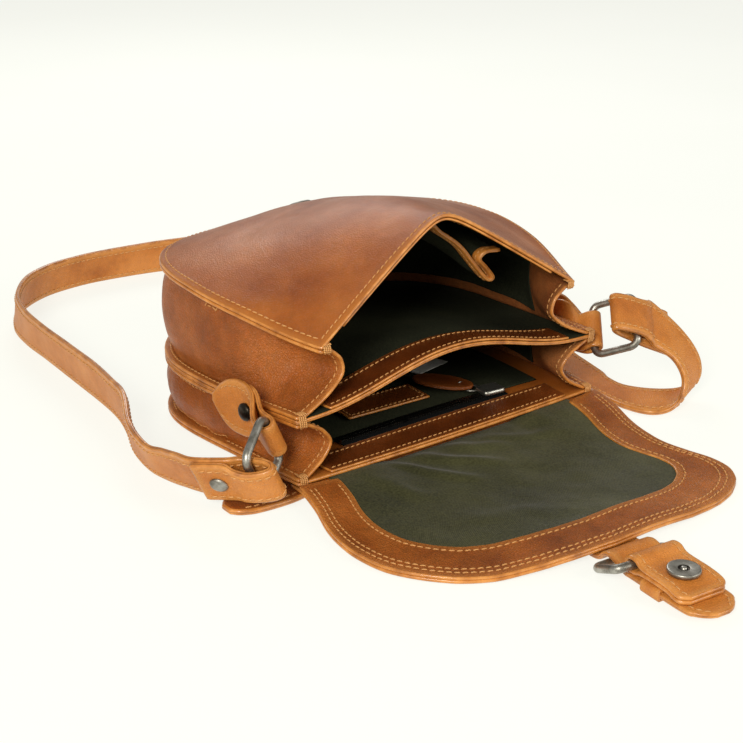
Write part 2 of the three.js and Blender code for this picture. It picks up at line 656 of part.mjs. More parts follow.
function closure() {
  const group = new THREE.Group();
  group.position.set(closure_x, -closure_start, 0);
  group.rotation.z = -closure_turn;
  const put = (name, geometry, look) => group.add(add(name, geometry, look));
  const under_bar = 25.5;
  const tab_bar = under_bar + buckle_bar_gap;
  const strap_low = keeper_wall + gap;
  const strap_top = strap_low + closure_wall;
  const bar_height = strap_top + 2 * gap + tab_wall + buckle_wire;
  const keeper_at = tab_bar + 13;
  const middle = closure_wall / 2 + 0.1;
  const strap_rows = [
    { s: 0, z: middle, half: 1 },
    { s: 17, z: middle + gap, half: 1 },
    { s: under_bar - 3, z: middle + 2 * buckle_wire, half: 1 },
    { s: under_bar + 2, z: middle + 2 * buckle_wire + 2 * gap, half: 1 },
    { s: tab_bar - 4, z: middle + strap_low + gap / 2, half: 1 },
    { s: tab_bar + 2, z: middle + strap_low, half: 1 },
    { s: closure_length - 11, z: middle + strap_low, half: 1 },
    { s: closure_length - 5, z: middle + strap_low, half: 0.82 },
    { s: closure_length - 1.5, z: middle + strap_low, half: 0.52 },
    { s: closure_length, z: middle + strap_low, half: 0.25 },
  ];
  const row_band = (rows, width, thick) => {
    const edges = rows.map((row) => vec(-width / 2 * row.half, -row.s, row.z));
    const ways = rows.map((row) => vec(width * row.half, 0, 0));
    return band(edges, ways, rows.length * 2 - 2, thick);
  };
  put('flap_strap', row_band(strap_rows, closure_width, closure_wall), leather_light);

  const over_keeper = strap_top + 2 * gap + keeper_wall + tab_wall / 2;
  const loop = buckle_wire + gap + tab_wall / 2;
  const layer = tab_wall + gap;
  const end = tab_bar + tab_length - 6;
  const end_height = strap_top + gap + tab_wall / 2;
  const tab_rows = [
    { s: end, z: end_height, half: 0.72 },
    { s: end - 3.5, z: end_height + 0.25, half: 1 },
    { s: keeper_at + 8, z: over_keeper, half: 1 },
    { s: keeper_at - 6, z: over_keeper, half: 1 },
    { s: tab_bar + 2, z: bar_height - loop + 0.4, half: 1 },
    { s: tab_bar - 2.2, z: bar_height - loop * 0.8, half: 1 },
    { s: tab_bar - loop - 0.2, z: bar_height, half: 1 },
    { s: tab_bar - 2.2, z: bar_height + loop * 0.8, half: 1 },
    { s: tab_bar + 2, z: bar_height + loop - 0.2, half: 1 },
    { s: keeper_at - 6, z: over_keeper + layer + 0.5, half: 1 },
    { s: keeper_at + 8, z: over_keeper + layer, half: 1 },
    { s: end - 3.5, z: end_height + layer + 0.25, half: 1 },
    { s: end, z: end_height + layer, half: 0.72 },
  ];
  put('magnet_tab', row_band(tab_rows, tab_width, tab_wall), leather_light);

  const frame_tilt = Math.atan2(bar_height - buckle_wire, buckle_bar_gap);
  const frame_length = Math.hypot(bar_height - buckle_wire, buckle_bar_gap);
  const frame = wire_frame(2 * buckle_half, frame_length, 3.5, buckle_wire);
  frame.rotateX(-Math.PI / 2 + frame_tilt);
  const frame_mesh = add('flap_buckle', frame, nickel);
  frame_mesh.rotation.z = Math.PI;
  frame_mesh.position.set(buckle_shift, -(under_bar + tab_bar) / 2, (buckle_wire + bar_height) / 2);
  group.add(frame_mesh);

  const half = closure_width / 2 + gap + keeper_wall / 2;
  const low = keeper_wall / 2;
  const high = strap_top + gap + keeper_wall / 2;
  const open = 0.4;
  const hoop = [vec(open, 0, high), vec(half, 0, high), vec(half, 0, low), vec(-half, 0, low),
    vec(-half, 0, high), vec(-open, 0, high)];
  const hoop_point = (u, v) => {
    const at = u * (hoop.length - 1);
    const i = Math.min(hoop.length - 2, Math.floor(at));
    const spot = hoop[i].clone().lerp(hoop[i + 1], at - i);
    return spot.setY(-keeper_at + mix(keeper_width / 2, -keeper_width / 2, v));
  };
  put('closure_keeper', wall(hoop_point, hoop.length - 1, 1, keeper_wall), leather_light);

  const magnet = add('snap_magnet', dome(snap_radius, snap_wall, 16), nickel);
  magnet.position.set(0, -(keeper_at + 5), over_keeper + layer + tab_wall / 2 + 3 * gap);
  group.add(magnet);
  model.add(group);
}

// The rings: middle and direction of the bar in the ring tab, the way from it to the strap's bar,
// and the way the strap leaves
const ring_rows = [
  { name: 'left_bar', x: -mouth_half - left_ring_out, y: 8, z: 33 },
  { name: 'left_up', x: -0.457, y: -0.203, z: 0.867 },
  { name: 'left_over', x: -0.715, y: -0.504, z: -0.488 },
  { name: 'left_away', x: -0.58, y: 0.806, z: -0.118 },
  { name: 'right_bar', x: mouth_half + right_ring_out, y: 8, z: 38 },
  { name: 'right_up', x: 0.423, y: 0.567, z: 0.707 },
  { name: 'right_over', x: 0.433, y: -0.81, z: 0.393 },
  { name: 'right_away', x: 0.825, y: -0.213, z: -0.52 },
];

// For each ring: its side of the bag, how far the strap's loop reaches past the bar (as a share of
// the fold's own reach) and the straight length of strap beyond the bar
const loop_shape = {
  left: { sign: -1, nose: 1, straight: 28 },
  right: { sign: 1, nose: 1.5, straight: 17 },
};

// A ring's frame: along its bars (up), from the tab's bar to the strap's bar (over),
// along the strap (away) and along the tab (back)
function ring_place(side) {
  const find = (name) => {
    const row = ring_rows.find((entry) => entry.name === `${side}_${name}`);
    return vec(row.x, row.y, row.z);
  };
  const level = (way, up) => way.addScaledVector(up, -way.dot(up)).normalize();
  const bar = find('bar');
  const up = find('up').normalize();
  const over = level(find('over'), up);
  const away = level(find('away'), up);
  const back = level(vec(0, 1, 0), up);
  const strap_bar = bar.clone().addScaledVector(over, ring_side);
  const { sign, nose, straight } = loop_shape[side];
  return { sign, nose, straight, bar, up, over, away, back, strap_bar };
}

const ends = { left: ring_place('left'), right: ring_place('right') };

function rings() {
  for (const [name, end] of Object.entries(ends)) {
    const ring = add(`${name}_ring`, wire_frame(ring_side, ring_bar, ring_corner, ring_wire), nickel);
    const middle = end.bar.clone().lerp(end.strap_bar, 0.5);
    place(ring, middle, end.over, end.up.clone().cross(end.over), end.up);
  }
}

// A tab folded round the ring's bar: distance from the bar, offset from its middle (in loop radii)
// and share of its full width, from the pointed end of the outer layer to the end of the inner one
const tab_fold = [
  { far: 1, off: 1, width: 0.12 },
  { far: 0.86, off: 1, width: 0.62 },
  { far: 0.7, off: 1, width: 0.93 },
  { far: 0.5, off: 1, width: 1 },
  { far: 0.3, off: 1, width: 0.9 },
  { far: 0.14, off: 2.2, width: 0.78 },
  { far: 0.0, off: 2.9, width: 0.74 },
  { far: -0.055, off: 1.9, width: 0.74 },
  { far: -0.075, off: 0, width: 0.74 },
  { far: -0.055, off: -1.9, width: 0.74 },
  { far: 0.0, off: -2.9, width: 0.74 },
  { far: 0.14, off: -2.2, width: 0.78 },
  { far: 0.3, off: -1, width: 0.9 },
  { far: 0.5, off: -1, width: 0.85 },
  { far: 0.68, off: -1, width: 0.6 },
];

function tab_middle(end, far) {
  const y = Math.max(0, end.bar.y + far * ring_tab_length);
  const place_in = y / belly_depth * side_share;
  const seam = outline('middle', place_in);
  const rest = 1.5 * ring_tab_wall + 2 * gap;
  const seam_z = seam_height.middle * read(seam_profile.middle, 'at', 'height', place_in);
  const on_bag = vec(end.sign * (seam.half + rest), y, seam_z);
  const on_ring = end.bar.clone().addScaledVector(end.back, far * ring_tab_length);
  return on_ring.lerp(on_bag, smooth(0.06, 0.42, far));
}

function ring_tabs() {
  for (const [name, end] of Object.entries(ends)) {
    const edges = [];
    const ways = [];
    for (const row of tab_fold) {
      const upright = end.up.clone().lerp(vec(0, 0, 1), smooth(0.1, 0.45, row.far)).normalize();
      const out = upright.clone().cross(end.back).multiplyScalar(-end.sign).normalize();
      const width = ring_tab_width * row.width;
      const spot = tab_middle(end, row.far).addScaledVector(out, row.off * (ring_tab_wall + gap) / 2);
      edges.push(spot.addScaledVector(upright, -width / 2));
      ways.push(upright.multiplyScalar(width));
    }
    add(`${name}_ring_tab`, band(edges, ways, 28, ring_tab_wall), leather_light);
    const upright = end.up.clone().lerp(vec(0, 0, 1), smooth(0.1, 0.45, rivet_at)).normalize();
    const back = tab_middle(end, rivet_at + 0.05).sub(tab_middle(end, rivet_at - 0.05)).normalize();
    const out = upright.clone().cross(back).multiplyScalar(-end.sign).normalize();
    const spot = tab_middle(end, rivet_at).addScaledVector(out, 1.1 * ring_tab_wall + 4.4 * gap);
    const rivet = add(`${name}_tab_rivet`, dome(rivet_radius, rivet_height), nickel);
    place(rivet, spot, back.clone().cross(out), back, out);
  }
}

// The strap's loop round the ring's bar: distance along the strap, offset from its middle
// (in half walls) and share of its full width. The right strap's loop reaches further past the bar,
// and its run bends away sooner.
const strap_fold = [
  { far: 27, off: -1, width: 1 },
  { far: 12, off: -1.02, width: 1 },
  { far: 6, off: -2.2, width: 0.88 },
  { far: 0, off: -2.7, width: 0.78 },
  { far: -7, off: -2.1, width: 0.78 },
  { far: -11, off: -0.9, width: 0.78 },
  { far: -11, off: 0.9, width: 0.78 },
  { far: -7, off: 2.1, width: 0.78 },
  { far: 0, off: 2.7, width: 0.78 },
  { far: 6, off: 2.2, width: 0.88 },
  { far: 12, off: 1.02, width: 1 },
];

function strap_loop(end) {
  const out = end.away.clone().cross(end.up).normalize();
  const edges = [];
  const ways = [];
  const last = { far: end.straight, off: 1, width: 1 };
  for (const row of [...strap_fold, last]) {
    const far = row.far < 0 ? row.far * end.nose : row.far;
    const spot = end.strap_bar.clone().addScaledVector(end.away, far);
    spot.addScaledVector(out, row.off * (strap_wall + gap) / 2);
    edges.push(spot.addScaledVector(end.up, -strap_width * row.width / 2));
    ways.push(end.up.clone().multiplyScalar(strap_width * row.width));
  }
  return { edges, ways, out };
}

function strap(name, loop, rows, steps) {
  for (const row of rows) {
    loop.edges.push(vec(row.x, row.y, row.z));
    loop.ways.push(vec(row.across_x, row.across_y, row.across_z));
  }
  add(name, band(loop.edges, loop.ways, steps, strap_wall), leather_light);
}

function straps() {
  const upright = (row) => Math.sqrt(strap_width ** 2 - row.lean_x ** 2 - row.lean_y ** 2);
  const left_rows = left_run.map((row) => (
    { x: row.x, y: row.y, z: row.z, across_x: row.lean_x, across_y: row.lean_y, across_z: upright(row) }
  ));
  const loops = { left: strap_loop(ends.left), right: strap_loop(ends.right) };
  strap('left_strap', loops.left, left_rows, 92);
  strap('right_strap', loops.right, right_run, 60);
  strap('strap_end', { edges: [], ways: [] }, tail_run, 36);
  for (const [name, loop] of Object.entries(loops)) {
    const end = ends[name];
    const spot = end.strap_bar.clone().addScaledVector(end.away, 17);
    const head = loop.out.clone().negate();
    spot.addScaledVector(head, (strap_wall + gap) / 2 + strap_wall / 2 + 2 * gap);
    const rivet = add(`${name}_strap_rivet`, dome(rivet_radius, rivet_height), nickel);
    place(rivet, spot, end.away, head.clone().cross(end.away), head);
  }
  const buckle = wire_frame(strap_buckle_width, strap_buckle_length, ring_corner, strap_buckle_wire);
  buckle.rotateX(Math.PI / 2).translate(strap_buckle_x, strap_buckle_y, strap_buckle_wire + 0.1);
  add('strap_buckle', buckle, nickel);
}

body();
linings();
facings();
front_pocket();
zip_and_labels();
front_snap();
flap();
closure();
rings();
ring_tabs();
straps();

export default model;
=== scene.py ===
import bpy
import numpy as np
from mathutils import Matrix, Vector
from mathutils.bvhtree import BVHTree


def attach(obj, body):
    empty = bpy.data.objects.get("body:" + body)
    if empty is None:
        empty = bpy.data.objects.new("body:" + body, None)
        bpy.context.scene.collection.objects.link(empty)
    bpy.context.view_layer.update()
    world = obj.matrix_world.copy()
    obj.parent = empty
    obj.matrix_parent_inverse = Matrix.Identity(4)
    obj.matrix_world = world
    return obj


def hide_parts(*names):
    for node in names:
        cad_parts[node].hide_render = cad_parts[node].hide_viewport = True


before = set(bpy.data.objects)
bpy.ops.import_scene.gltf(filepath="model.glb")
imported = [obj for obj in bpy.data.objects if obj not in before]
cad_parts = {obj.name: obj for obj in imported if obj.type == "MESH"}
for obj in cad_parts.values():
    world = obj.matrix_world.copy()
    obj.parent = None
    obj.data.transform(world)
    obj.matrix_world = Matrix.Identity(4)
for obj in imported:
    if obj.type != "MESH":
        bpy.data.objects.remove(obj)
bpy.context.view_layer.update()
scene = bpy.context.scene

# Sizes, in millimetres
MOUTH_HALF, FRONT_HALF, BELLY_HALF = 98.5, 82.5, 105.0
BELLY_DEPTH, BAG_DEPTH, CORNER = 88.0, 168.0, 2.5
SIDE_SHARE = 0.42
TENT_RISE, TENT_BACK, TENT_SOFT = 48.0, 11.0, 0.12
FRONT_BULGE, DIVIDER_BOW, BACK_DIP, BACK_BOW = 7.0, 15.0, 1.4, 1.6
PINCH, BELLY_OUT, PINCH_REACH, FLANGE = 21.0, 4.0, 0.34, 5.0
LEATHER, LINING, FACING, BOARD, GAP = 1.8, 0.9, 1.2, 2.0, 0.3
FACING_DEPTH = 22.0
AT = (0, 0.25, 0.5, 0.75, 1)
SEAMS = {
    "front": (88.0, FRONT_HALF, (0.835, 0.94, 1.0, 0.99, 0.955)),
    "middle": (40.0, MOUTH_HALF, (1.0, 0.925, 0.89, 0.91, 0.95)),
    "back": (7.6, MOUTH_HALF, (1.0, 0.88, 0.52, 0.26, 0.2)),
}
# Rows of a gusset's section: down, inset, fold.
SECTION = (
    (0, 0, 0), (0, 1, 0), (0.1, 1.1, 0.3), (0.25, 1.0, 0.72), (0.5, 1.0, 1.0), (0.75, 1.0, 0.72),
    (0.9, 1.1, 0.3), (1, 1, 0), (1, 0, 0),
)
# Rows of the flap's outline: along, left, right.
FLAP_OUTLINE = (
    (0, 0.99, 1.03), (0.155, 1.03, 0.99), (0.29, 1.085, 0.93), (0.42, 1.115, 0.885),
    (0.52, 1.115, 0.87), (0.63, 1.085, 0.89), (0.73, 1.01, 0.915), (0.825, 0.9, 0.9),
    (0.9, 0.75, 0.83), (0.955, 0.54, 0.71), (0.985, 0.36, 0.56), (1, 0.16, 0.36),
)
FLAP_HALF, FLAP_LENGTH, HINGE_DEPTH, HINGE_LIFT, HINGE_FALL = 99.0, 129.0, 6.0, 3.5, 45.0
BORDER, LIFT = 21.0, 3.8
FLAP_MIDDLE = (-6.0, 20.0)
CLOSURE_X, CLOSURE_START, CLOSURE_TURN = -12.0, 112.0, 0.1
CLOSURE_WIDTH, CLOSURE_LENGTH, CLOSURE_WALL = 25.0, 82.0, 2.4
KEEPER_WIDTH, KEEPER_WALL, TAB_WIDTH, TAB_LENGTH, TAB_WALL = 11.0, 1.3, 25.0, 38.0, 1.9
SNAP_RADIUS, SNAP_WALL, BUCKLE_WIRE, BAR_GAP, BUCKLE_HALF, BUCKLE_SHIFT = 7.4, 1.5, 2.1, 14.5, 18.0, -2.5
RING_WIRE, RING_BAR, RING_SIDE, RING_CORNER = 2.1, 30.0, 25.6, 5.0
RING_TAB_LENGTH, RING_TAB_WIDTH, RING_TAB_WALL = 50.0, 27.0, 2.2
STRAP_WIDTH, STRAP_WALL, RIVET_RADIUS, RIVET_HEIGHT, RIVET_AT = 25.0, 3.0, 4.6, 2.2, 0.43
# The slip pocket's slack mouth, from left to right: x, z.
POCKET_MOUTH = (
    (-46, 89), (-20, 103), (4, 112), (16, 105), (30, 95), (40, 84), (50, 73), (54, 73), (48, 80),
    (42, 86), (45, 90), (53, 90),
)
# Creases of the flap's lining: from x, y to x, y, height and width.
LINING_CREASES = (
    (-42, -5, -20, -38, 1.7, 3.6), (-26, -3, 2, -30, 1.9, 4.0), (-6, -3, 18, -20, 1.4, 3.6),
    (-62, -10, -52, -40, 1.1, 4.5), (12, -6, 56, -26, 0.9, 4.5), (-50, -70, -10, -92, 0.6, 6.0),
)
# Rows of the straps: near edge x, y, z and the way across; the left one's width gives the way's height.
LEFT_RUN = (
    (-139, 38, 5, -9, -9), (-140, 54, 2.5, -8, -11), (-140, 70, 1, -9, -12),
    (-137, 91, 1.1, -8, -9), (-129, 114, 0.8, -3, -1), (-123, 136, 0.7, -5, -2),
    (-120, 161, 0.7, -5, -2), (-118, 201, 0.7, -5, -4), (-116, 244, 0.7, -5, -5),
    (-115, 274, 0.7, -3, -5), (-110, 303, 0.7, 1, -5), (-93, 334, 0.7, 3, -7),
    (-68, 353, 0.7, 2, -9), (-39, 361, 0.7, 0, -10), (-8, 361, 0.7, 0, -10),
    (28, 355, 0.7, -1, -9), (68, 341, 0.7, -3, -8), (104, 315, 0.7, -8, -7),
    (132, 277, 0.7, -16, -5), (143, 237, 3.2, -24.5, -2), (142, 200, 5, -24.95, 0),
    (143, 168, 5.4, -24.95, 0), (144, 140, 5.4, -24.95, 1), (141, 112, 5.4, -24.9, 2),
    (131, 82.5, 5.4, -23.6, 8),
)
TAIL_RUN = (
    (131, 80, 5.6, -23.4, 8.8, -1.3), (123, 60, 6.3, -19.6, 15, -4.3),
    (106, 43, 2.6, -15, 20, -1.1), (90, 33, 1.6, -11, 22.5, 0), (60, 22, 1.6, -8, 23.7, 0),
    (0, 14, 1.6, -2, 24.9, 0), (-50, 10.5, 1.6, -2, 24.9, 0), (-76, 4.5, 1.6, -1.5, 24.5, 0),
    (-100, -1.5, 1.6, -1, 23, 0), (-120, -1, 1.6, 0, 21, 0), (-129, 2, 1.6, 0, 14.5, 0),
    (-133, 6, 1.6, 0, 6, 0),
)
RIGHT_RUN = (
    (131.5, -29.5, 28, 17.5, 14.5, 10.3), (134.5, -34.5, 20, 20.8, 12, 7),
    (134, -37, 13, 22.7, 9.4, 4.6), (129.5, -38.5, 6.3, 23.2, 8.5, 3.6),
    (121, -38.5, 2.6, 22, 11.5, 2.6), (112, -33.5, 1.6, 19, 16, 2.5),
    (107, -20, 1.5, 17.5, 17.8, 1.5), (107, -2, 1.5, 20, 15, 0.5), (109, 14, 1.5, 23, 9.8, 0),
    (114, 45, 1.5, 24.6, 4, 0), (119, 66, 1.5, 25, 1, 0), (120, 90, 1.5, 25, 0, 0),
    (120, 118, 1.5, 25, 0, 0),
)

MM = 0.001
HASH = np.array((374761393, 668265263, 2147483647), np.int64)
HASH_TURN = 1274126177
PANEL_CORNER = 0.34
# Linings and facings, as shares of the panel that they lie on.
FRONT_MARGIN, BACK_MARGIN, FRONT_FACING, INNER_FACING = 1 / 12, 1 / 10, 1 / 7, 1 / 8
EDGE_ROUND = 0.9
# Stitches: pitch, length and radius.
FINE_STITCH, SMALL_STITCH, SEAM_STITCH = (3.0, 2.2, 0.28), (3.0, 2.2, 0.32), (3.6, 2.8, 0.38)
FLAP_STITCH, TAB_STITCH, STRAP_STITCH = (3.6, 2.8, 0.4), (3.8, 2.9, 0.42), (4.2, 3.2, 0.45)
STITCH_SIDES = 6
# Cross-section rows of one stitch: along, width, lift.
STITCH_ROWS = ((-0.5, 0.25, -0.3), (-0.36, 0.9, 0.05), (0, 1, 0.22), (0.36, 0.9, 0.05), (0.5, 0.25, -0.3))


def arr(*values):
    return np.array(values, float)


def mix(a, b, share):
    return a + (b - a) * share


def smooth(low, high, value):
    share = np.clip((np.asarray(value, float) - low) / (high - low), 0, 1)
    return share * share * (3 - 2 * share)


def unit(v):
    return v / np.maximum(np.linalg.norm(v, axis=-1, keepdims=True), 1e-12)


def pair(u, v):
    return np.broadcast_arrays(np.asarray(u, float), np.asarray(v, float))


def stack(x, y, z):
    x, y, z = np.broadcast_arrays(x, y, z)
    return np.stack([x, y, z], -1).astype(float)


def spline(a, b, c, d, s):
    """Catmull-Rom value between b and c, at share s."""
    bend = 2 * a - 5 * b + 4 * c - d
    return 0.5 * (2 * b + (c - a) * s + bend * s ** 2 + (3 * b - a - 3 * c + d) * s ** 3)


def read(keys, values, place):
    """Smooth reading of a table at a place, as numbers."""
    keys, values = np.array(keys, float), np.array(values, float)
    place = np.asarray(place, float)
    last = len(keys) - 1
    i = np.clip(np.searchsorted(keys[1:], place, side="left"), 0, last - 1)
    s = np.clip((place - keys[i]) / (keys[i + 1] - keys[i]), 0, 1)
    before, after = values[np.clip(i - 1, 0, last)], values[np.clip(i + 2, 0, last)]
    return spline(before, values[i], values[i + 1], after, s)


def curve(points, u):
    """Uniform Catmull-Rom curve through points, u from 0 to 1."""
    p = np.array(points, float)
    p = np.vstack([2 * p[0] - p[1], p, 2 * p[-1] - p[-2]])
    n = len(p) - 3
    t = np.clip(np.asarray(u, float), 0, 1) * n
    i = np.clip(np.floor(t).astype(int), 0, n - 1)
    s = (t - i)[..., None]
    return spline(p[i], p[i + 1], p[i + 2], p[i + 3], s)


def noise(p, size, seed=0):
    """Smooth value noise from -1 to 1 at points p, in millimetres."""
    q = np.asarray(p, float) / size + seed * 17.31
    cell = np.floor(q).astype(np.int64)
    f = q - cell
    f = f * f * (3 - 2 * f)
    out = 0
    for corner in np.ndindex(2, 2, 2):
        h = ((cell + corner) * HASH).sum(-1)
        h = (h ^ (h >> 13)) * HASH_TURN
        value = ((h ^ (h >> 16)) & 0xFFFF) / 32767.5 - 1
        share = np.where(corner, f, 1 - f)
        out = out + value * (share[..., 0] * share[..., 1]) * share[..., 2]
    return out


# The bag's surfaces
def outline(seam, place):
    """Half width and depth of a seam, at a share of its way from the mouth to the bottom."""
    place = np.asarray(place, float)
    start = 2.0 if seam == "front" else 0.0
    share = np.clip(place / SIDE_SHARE, 0, 1)
    half_side = mix(SEAMS[seam][1], BELLY_HALF, np.sin(share * np.pi / 2))
    depth_side = mix(start, BELLY_DEPTH, share)
    turn = np.clip((place - SIDE_SHARE) / (1 - SIDE_SHARE), 0, 1) * np.pi / 2
    power = 2 / CORNER
    half_end = BELLY_HALF * np.maximum(0, np.cos(turn)) ** power
    depth_end = BELLY_DEPTH + (BAG_DEPTH - BELLY_DEPTH) * np.sin(turn) ** power
    side = place < SIDE_SHARE
    return np.where(side, half_side, half_end), np.where(side, depth_side, depth_end)


def seam_point(seam, place):
    """Point of a seam, at a place from -1, its left end, to 1, its right end."""
    place = np.asarray(place, float)
    share = 1 - np.abs(place)
    half, depth = outline(seam, share)
    height = SEAMS[seam][0] * read(AT, SEAMS[seam][2], share)
    return stack(np.sign(place) * half, depth, height)


def seam_out(seam, place):
    """Level direction that points out of the bag."""
    step = 0.012
    way = seam_point(seam, np.minimum(1, place + step)) - seam_point(seam, np.maximum(-1, place - step))
    return unit(stack(-way[..., 1], way[..., 0], 0 * way[..., 0]))


def panel(seam, opening, rise):
    """Surface spanned by a mouth and the rest of a seam, raised by a bulge."""
    corner = PANEL_CORNER

    def surface(u, v):
        u, v = pair(u, v)
        a, b = u[..., None], v[..., None]
        left, right = seam_point(seam, -mix(1, corner, v)), seam_point(seam, mix(1, corner, v))
        foot = seam_point(seam, mix(-corner, corner, u))
        spot = opening(u) * (1 - b) + foot * b + left * (1 - a) + right * a
        m0, m1 = opening(np.array(0.0)), opening(np.array(1.0))
        b0, b1 = seam_point(seam, np.array(-corner)), seam_point(seam, np.array(corner))
        spot = spot - m0 * (1 - a) * (1 - b) - m1 * a * (1 - b) - b0 * (1 - a) * b - b1 * a * b
        spot[..., 2] += rise(2 * u - 1, v)
        return spot
    return surface


def part_of(surface, u0, u1, v0, v1):
    """The part of a surface between two shares of u and two of v."""
    return lambda u, v: surface(mix(u0, u1, np.asarray(u, float)), mix(v0, v1, np.asarray(v, float)))


def tent(w):
    """Rise of the lifted front mouth: 1 in the middle, 0 at the ends, with a soft ridge."""
    foot = np.sqrt(1 + TENT_SOFT ** 2)
    return (foot - np.sqrt(w * w + TENT_SOFT ** 2)) / (foot - TENT_SOFT)


def mouth(seam, back, rise):
    """Line of a mouth from left to right; back and rise work on a place from -1 to 1."""
    foot = seam_point(seam, np.array(-1.0))

    def line(u):
        w = 2 * u - 1
        return stack(w * SEAMS[seam][1], foot[1] + back(w), foot[2] + rise(w))
    return line


def level(w):
    return 0 * w


front_mouth = mouth("front", lambda w: TENT_BACK * tent(w), lambda w: TENT_RISE * tent(w))
middle_mouth = mouth("middle", level, lambda w: DIVIDER_BOW * (1 - w * w) ** 3)
back_mouth = mouth("back", level, lambda w: -BACK_DIP * (1 - w * w))
front_surface = panel("front", front_mouth, lambda w, v: FRONT_BULGE * (1 - w * w) * np.sin(np.pi * v))
middle_surface = panel("middle", middle_mouth, lambda w, v: 0 * w)
back_surface = panel("back", back_mouth, lambda w, v: BACK_BOW * ((1 - w * w) * np.sin(np.pi * v)) ** 2)


def gusset(upper, lower, upper_wall, lower_wall):
    """Folded side strip between two seams, tucked in at the mouth."""
    rows = np.array(SECTION, float)
    inner = rows[1:8]
    at = np.arange(1, 8) / 8

    def column(k, row):
        flat = np.where(row < 0.5, mix(rows[0, k], rows[1, k], np.clip(row * 8, 0, 1)),
                        mix(rows[7, k], rows[8, k], np.clip(row * 8 - 7, 0, 1)))
        return np.where((row < 1 / 8) | (row > 7 / 8), flat, read(at, inner[:, k], row))

    def surface(u, v):
        place, row = np.broadcast_arrays(mix(-1, 1, np.asarray(u, float)), np.asarray(v, float))
        down, inset, fold = column(0, row), column(1, row) * FLANGE, column(2, row)
        top, foot = seam_point(upper, place), seam_point(lower, place)
        top[..., 2] -= upper_wall / 2 + GAP + LEATHER / 2
        foot[..., 2] += lower_wall / 2 + GAP + LEATHER / 2
        opened = smooth(0, PINCH_REACH, 1 - np.abs(place))
        swing = mix(-PINCH + FLANGE, BELLY_OUT, opened) * fold
        spot = top * (1 - down[..., None]) + foot * down[..., None]
        return spot + seam_out(lower, place) * (swing - inset)[..., None]
    return surface


front_gusset = gusset("front", "middle", LEATHER, BOARD)
back_gusset = gusset("middle", "back", BOARD, LEATHER)


# The flap
def flap_height(x, y):
    """Height of the flap's middle: lifted at the hinge's ends and over the closing strap."""
    hinge = HINGE_LIFT * smooth(38, 58, np.abs(x)) * (1 - smooth(0, HINGE_FALL, -y))
    over = LIFT * (1 - smooth(15, 75, np.abs(x - CLOSURE_X))) * smooth(50, 108, -y)
    return LEATHER / 2 + hinge + over


def flap_edge(share, side):
    """X of the flap's edge on one side, at a share of its length."""
    rows = np.array(FLAP_OUTLINE, float)
    reach = read(rows[:, 0], rows[:, 1 if side < 0 else 2], share) * FLAP_HALF
    return side * reach


def flap_surface(start, scale):
    """The flap's middle from y = start, scaled about the middle of the flap."""
    def surface(u, v):
        u, v = pair(u, v)
        y = mix(start, -FLAP_LENGTH, v)
        share = np.maximum(0, -y / FLAP_LENGTH)
        x = mix(flap_edge(share, -1), flap_edge(share, 1), u)
        x, y = mix(FLAP_MIDDLE[0], x, scale), mix(-FLAP_MIDDLE[1], y, scale)
        return stack(x, y, flap_height(x, y))
    return surface


def even(points, count):
    """Points spaced evenly along a polyline."""
    step = np.linalg.norm(np.diff(points, axis=0), axis=1)
    length = np.concatenate([[0], np.cumsum(step)])
    at = np.linspace(0, length[-1], count)
    return np.stack([np.interp(at, length, points[:, k]) for k in range(3)], -1)


def flap_rim():
    """Even points along the flap's edge, from the left end of the hinge round to the right."""
    share = 1 - (1 - np.linspace(0, 1, 400)) ** 2
    left = stack(flap_edge(share, -1), -share * FLAP_LENGTH, 0 * share)
    right = stack(flap_edge(share, 1), -share * FLAP_LENGTH, 0 * share)[::-1]
    return even(np.vstack([left, right]), 1201)


FLAP_RIM = flap_rim()


def flap_border(u, v):
    """Strip inside the flap's edge: u along the rim, v inwards."""
    u, v = pair(u, v)
    at = np.clip(u, 0, 1) * 1200
    rim = np.stack([np.interp(at, np.arange(1201), FLAP_RIM[:, k]) for k in range(3)], -1)
    centre = arr(FLAP_MIDDLE[0], -FLAP_MIDDLE[1], 0)
    spot = rim + (centre - rim) * (BORDER / FLAP_HALF * v)[..., None]
    spot[..., 1] = np.minimum(spot[..., 1], -2 * GAP)
    spot[..., 2] = flap_height(spot[..., 0], spot[..., 1])
    return spot


def band(edges, ways):
    """Strip between two smooth curves: an edge, and the same edge moved across by its way."""
    def surface(u, v):
        u, v = pair(u, v)
        return curve(edges, u) + curve(ways, u) * v[..., None]
    return surface


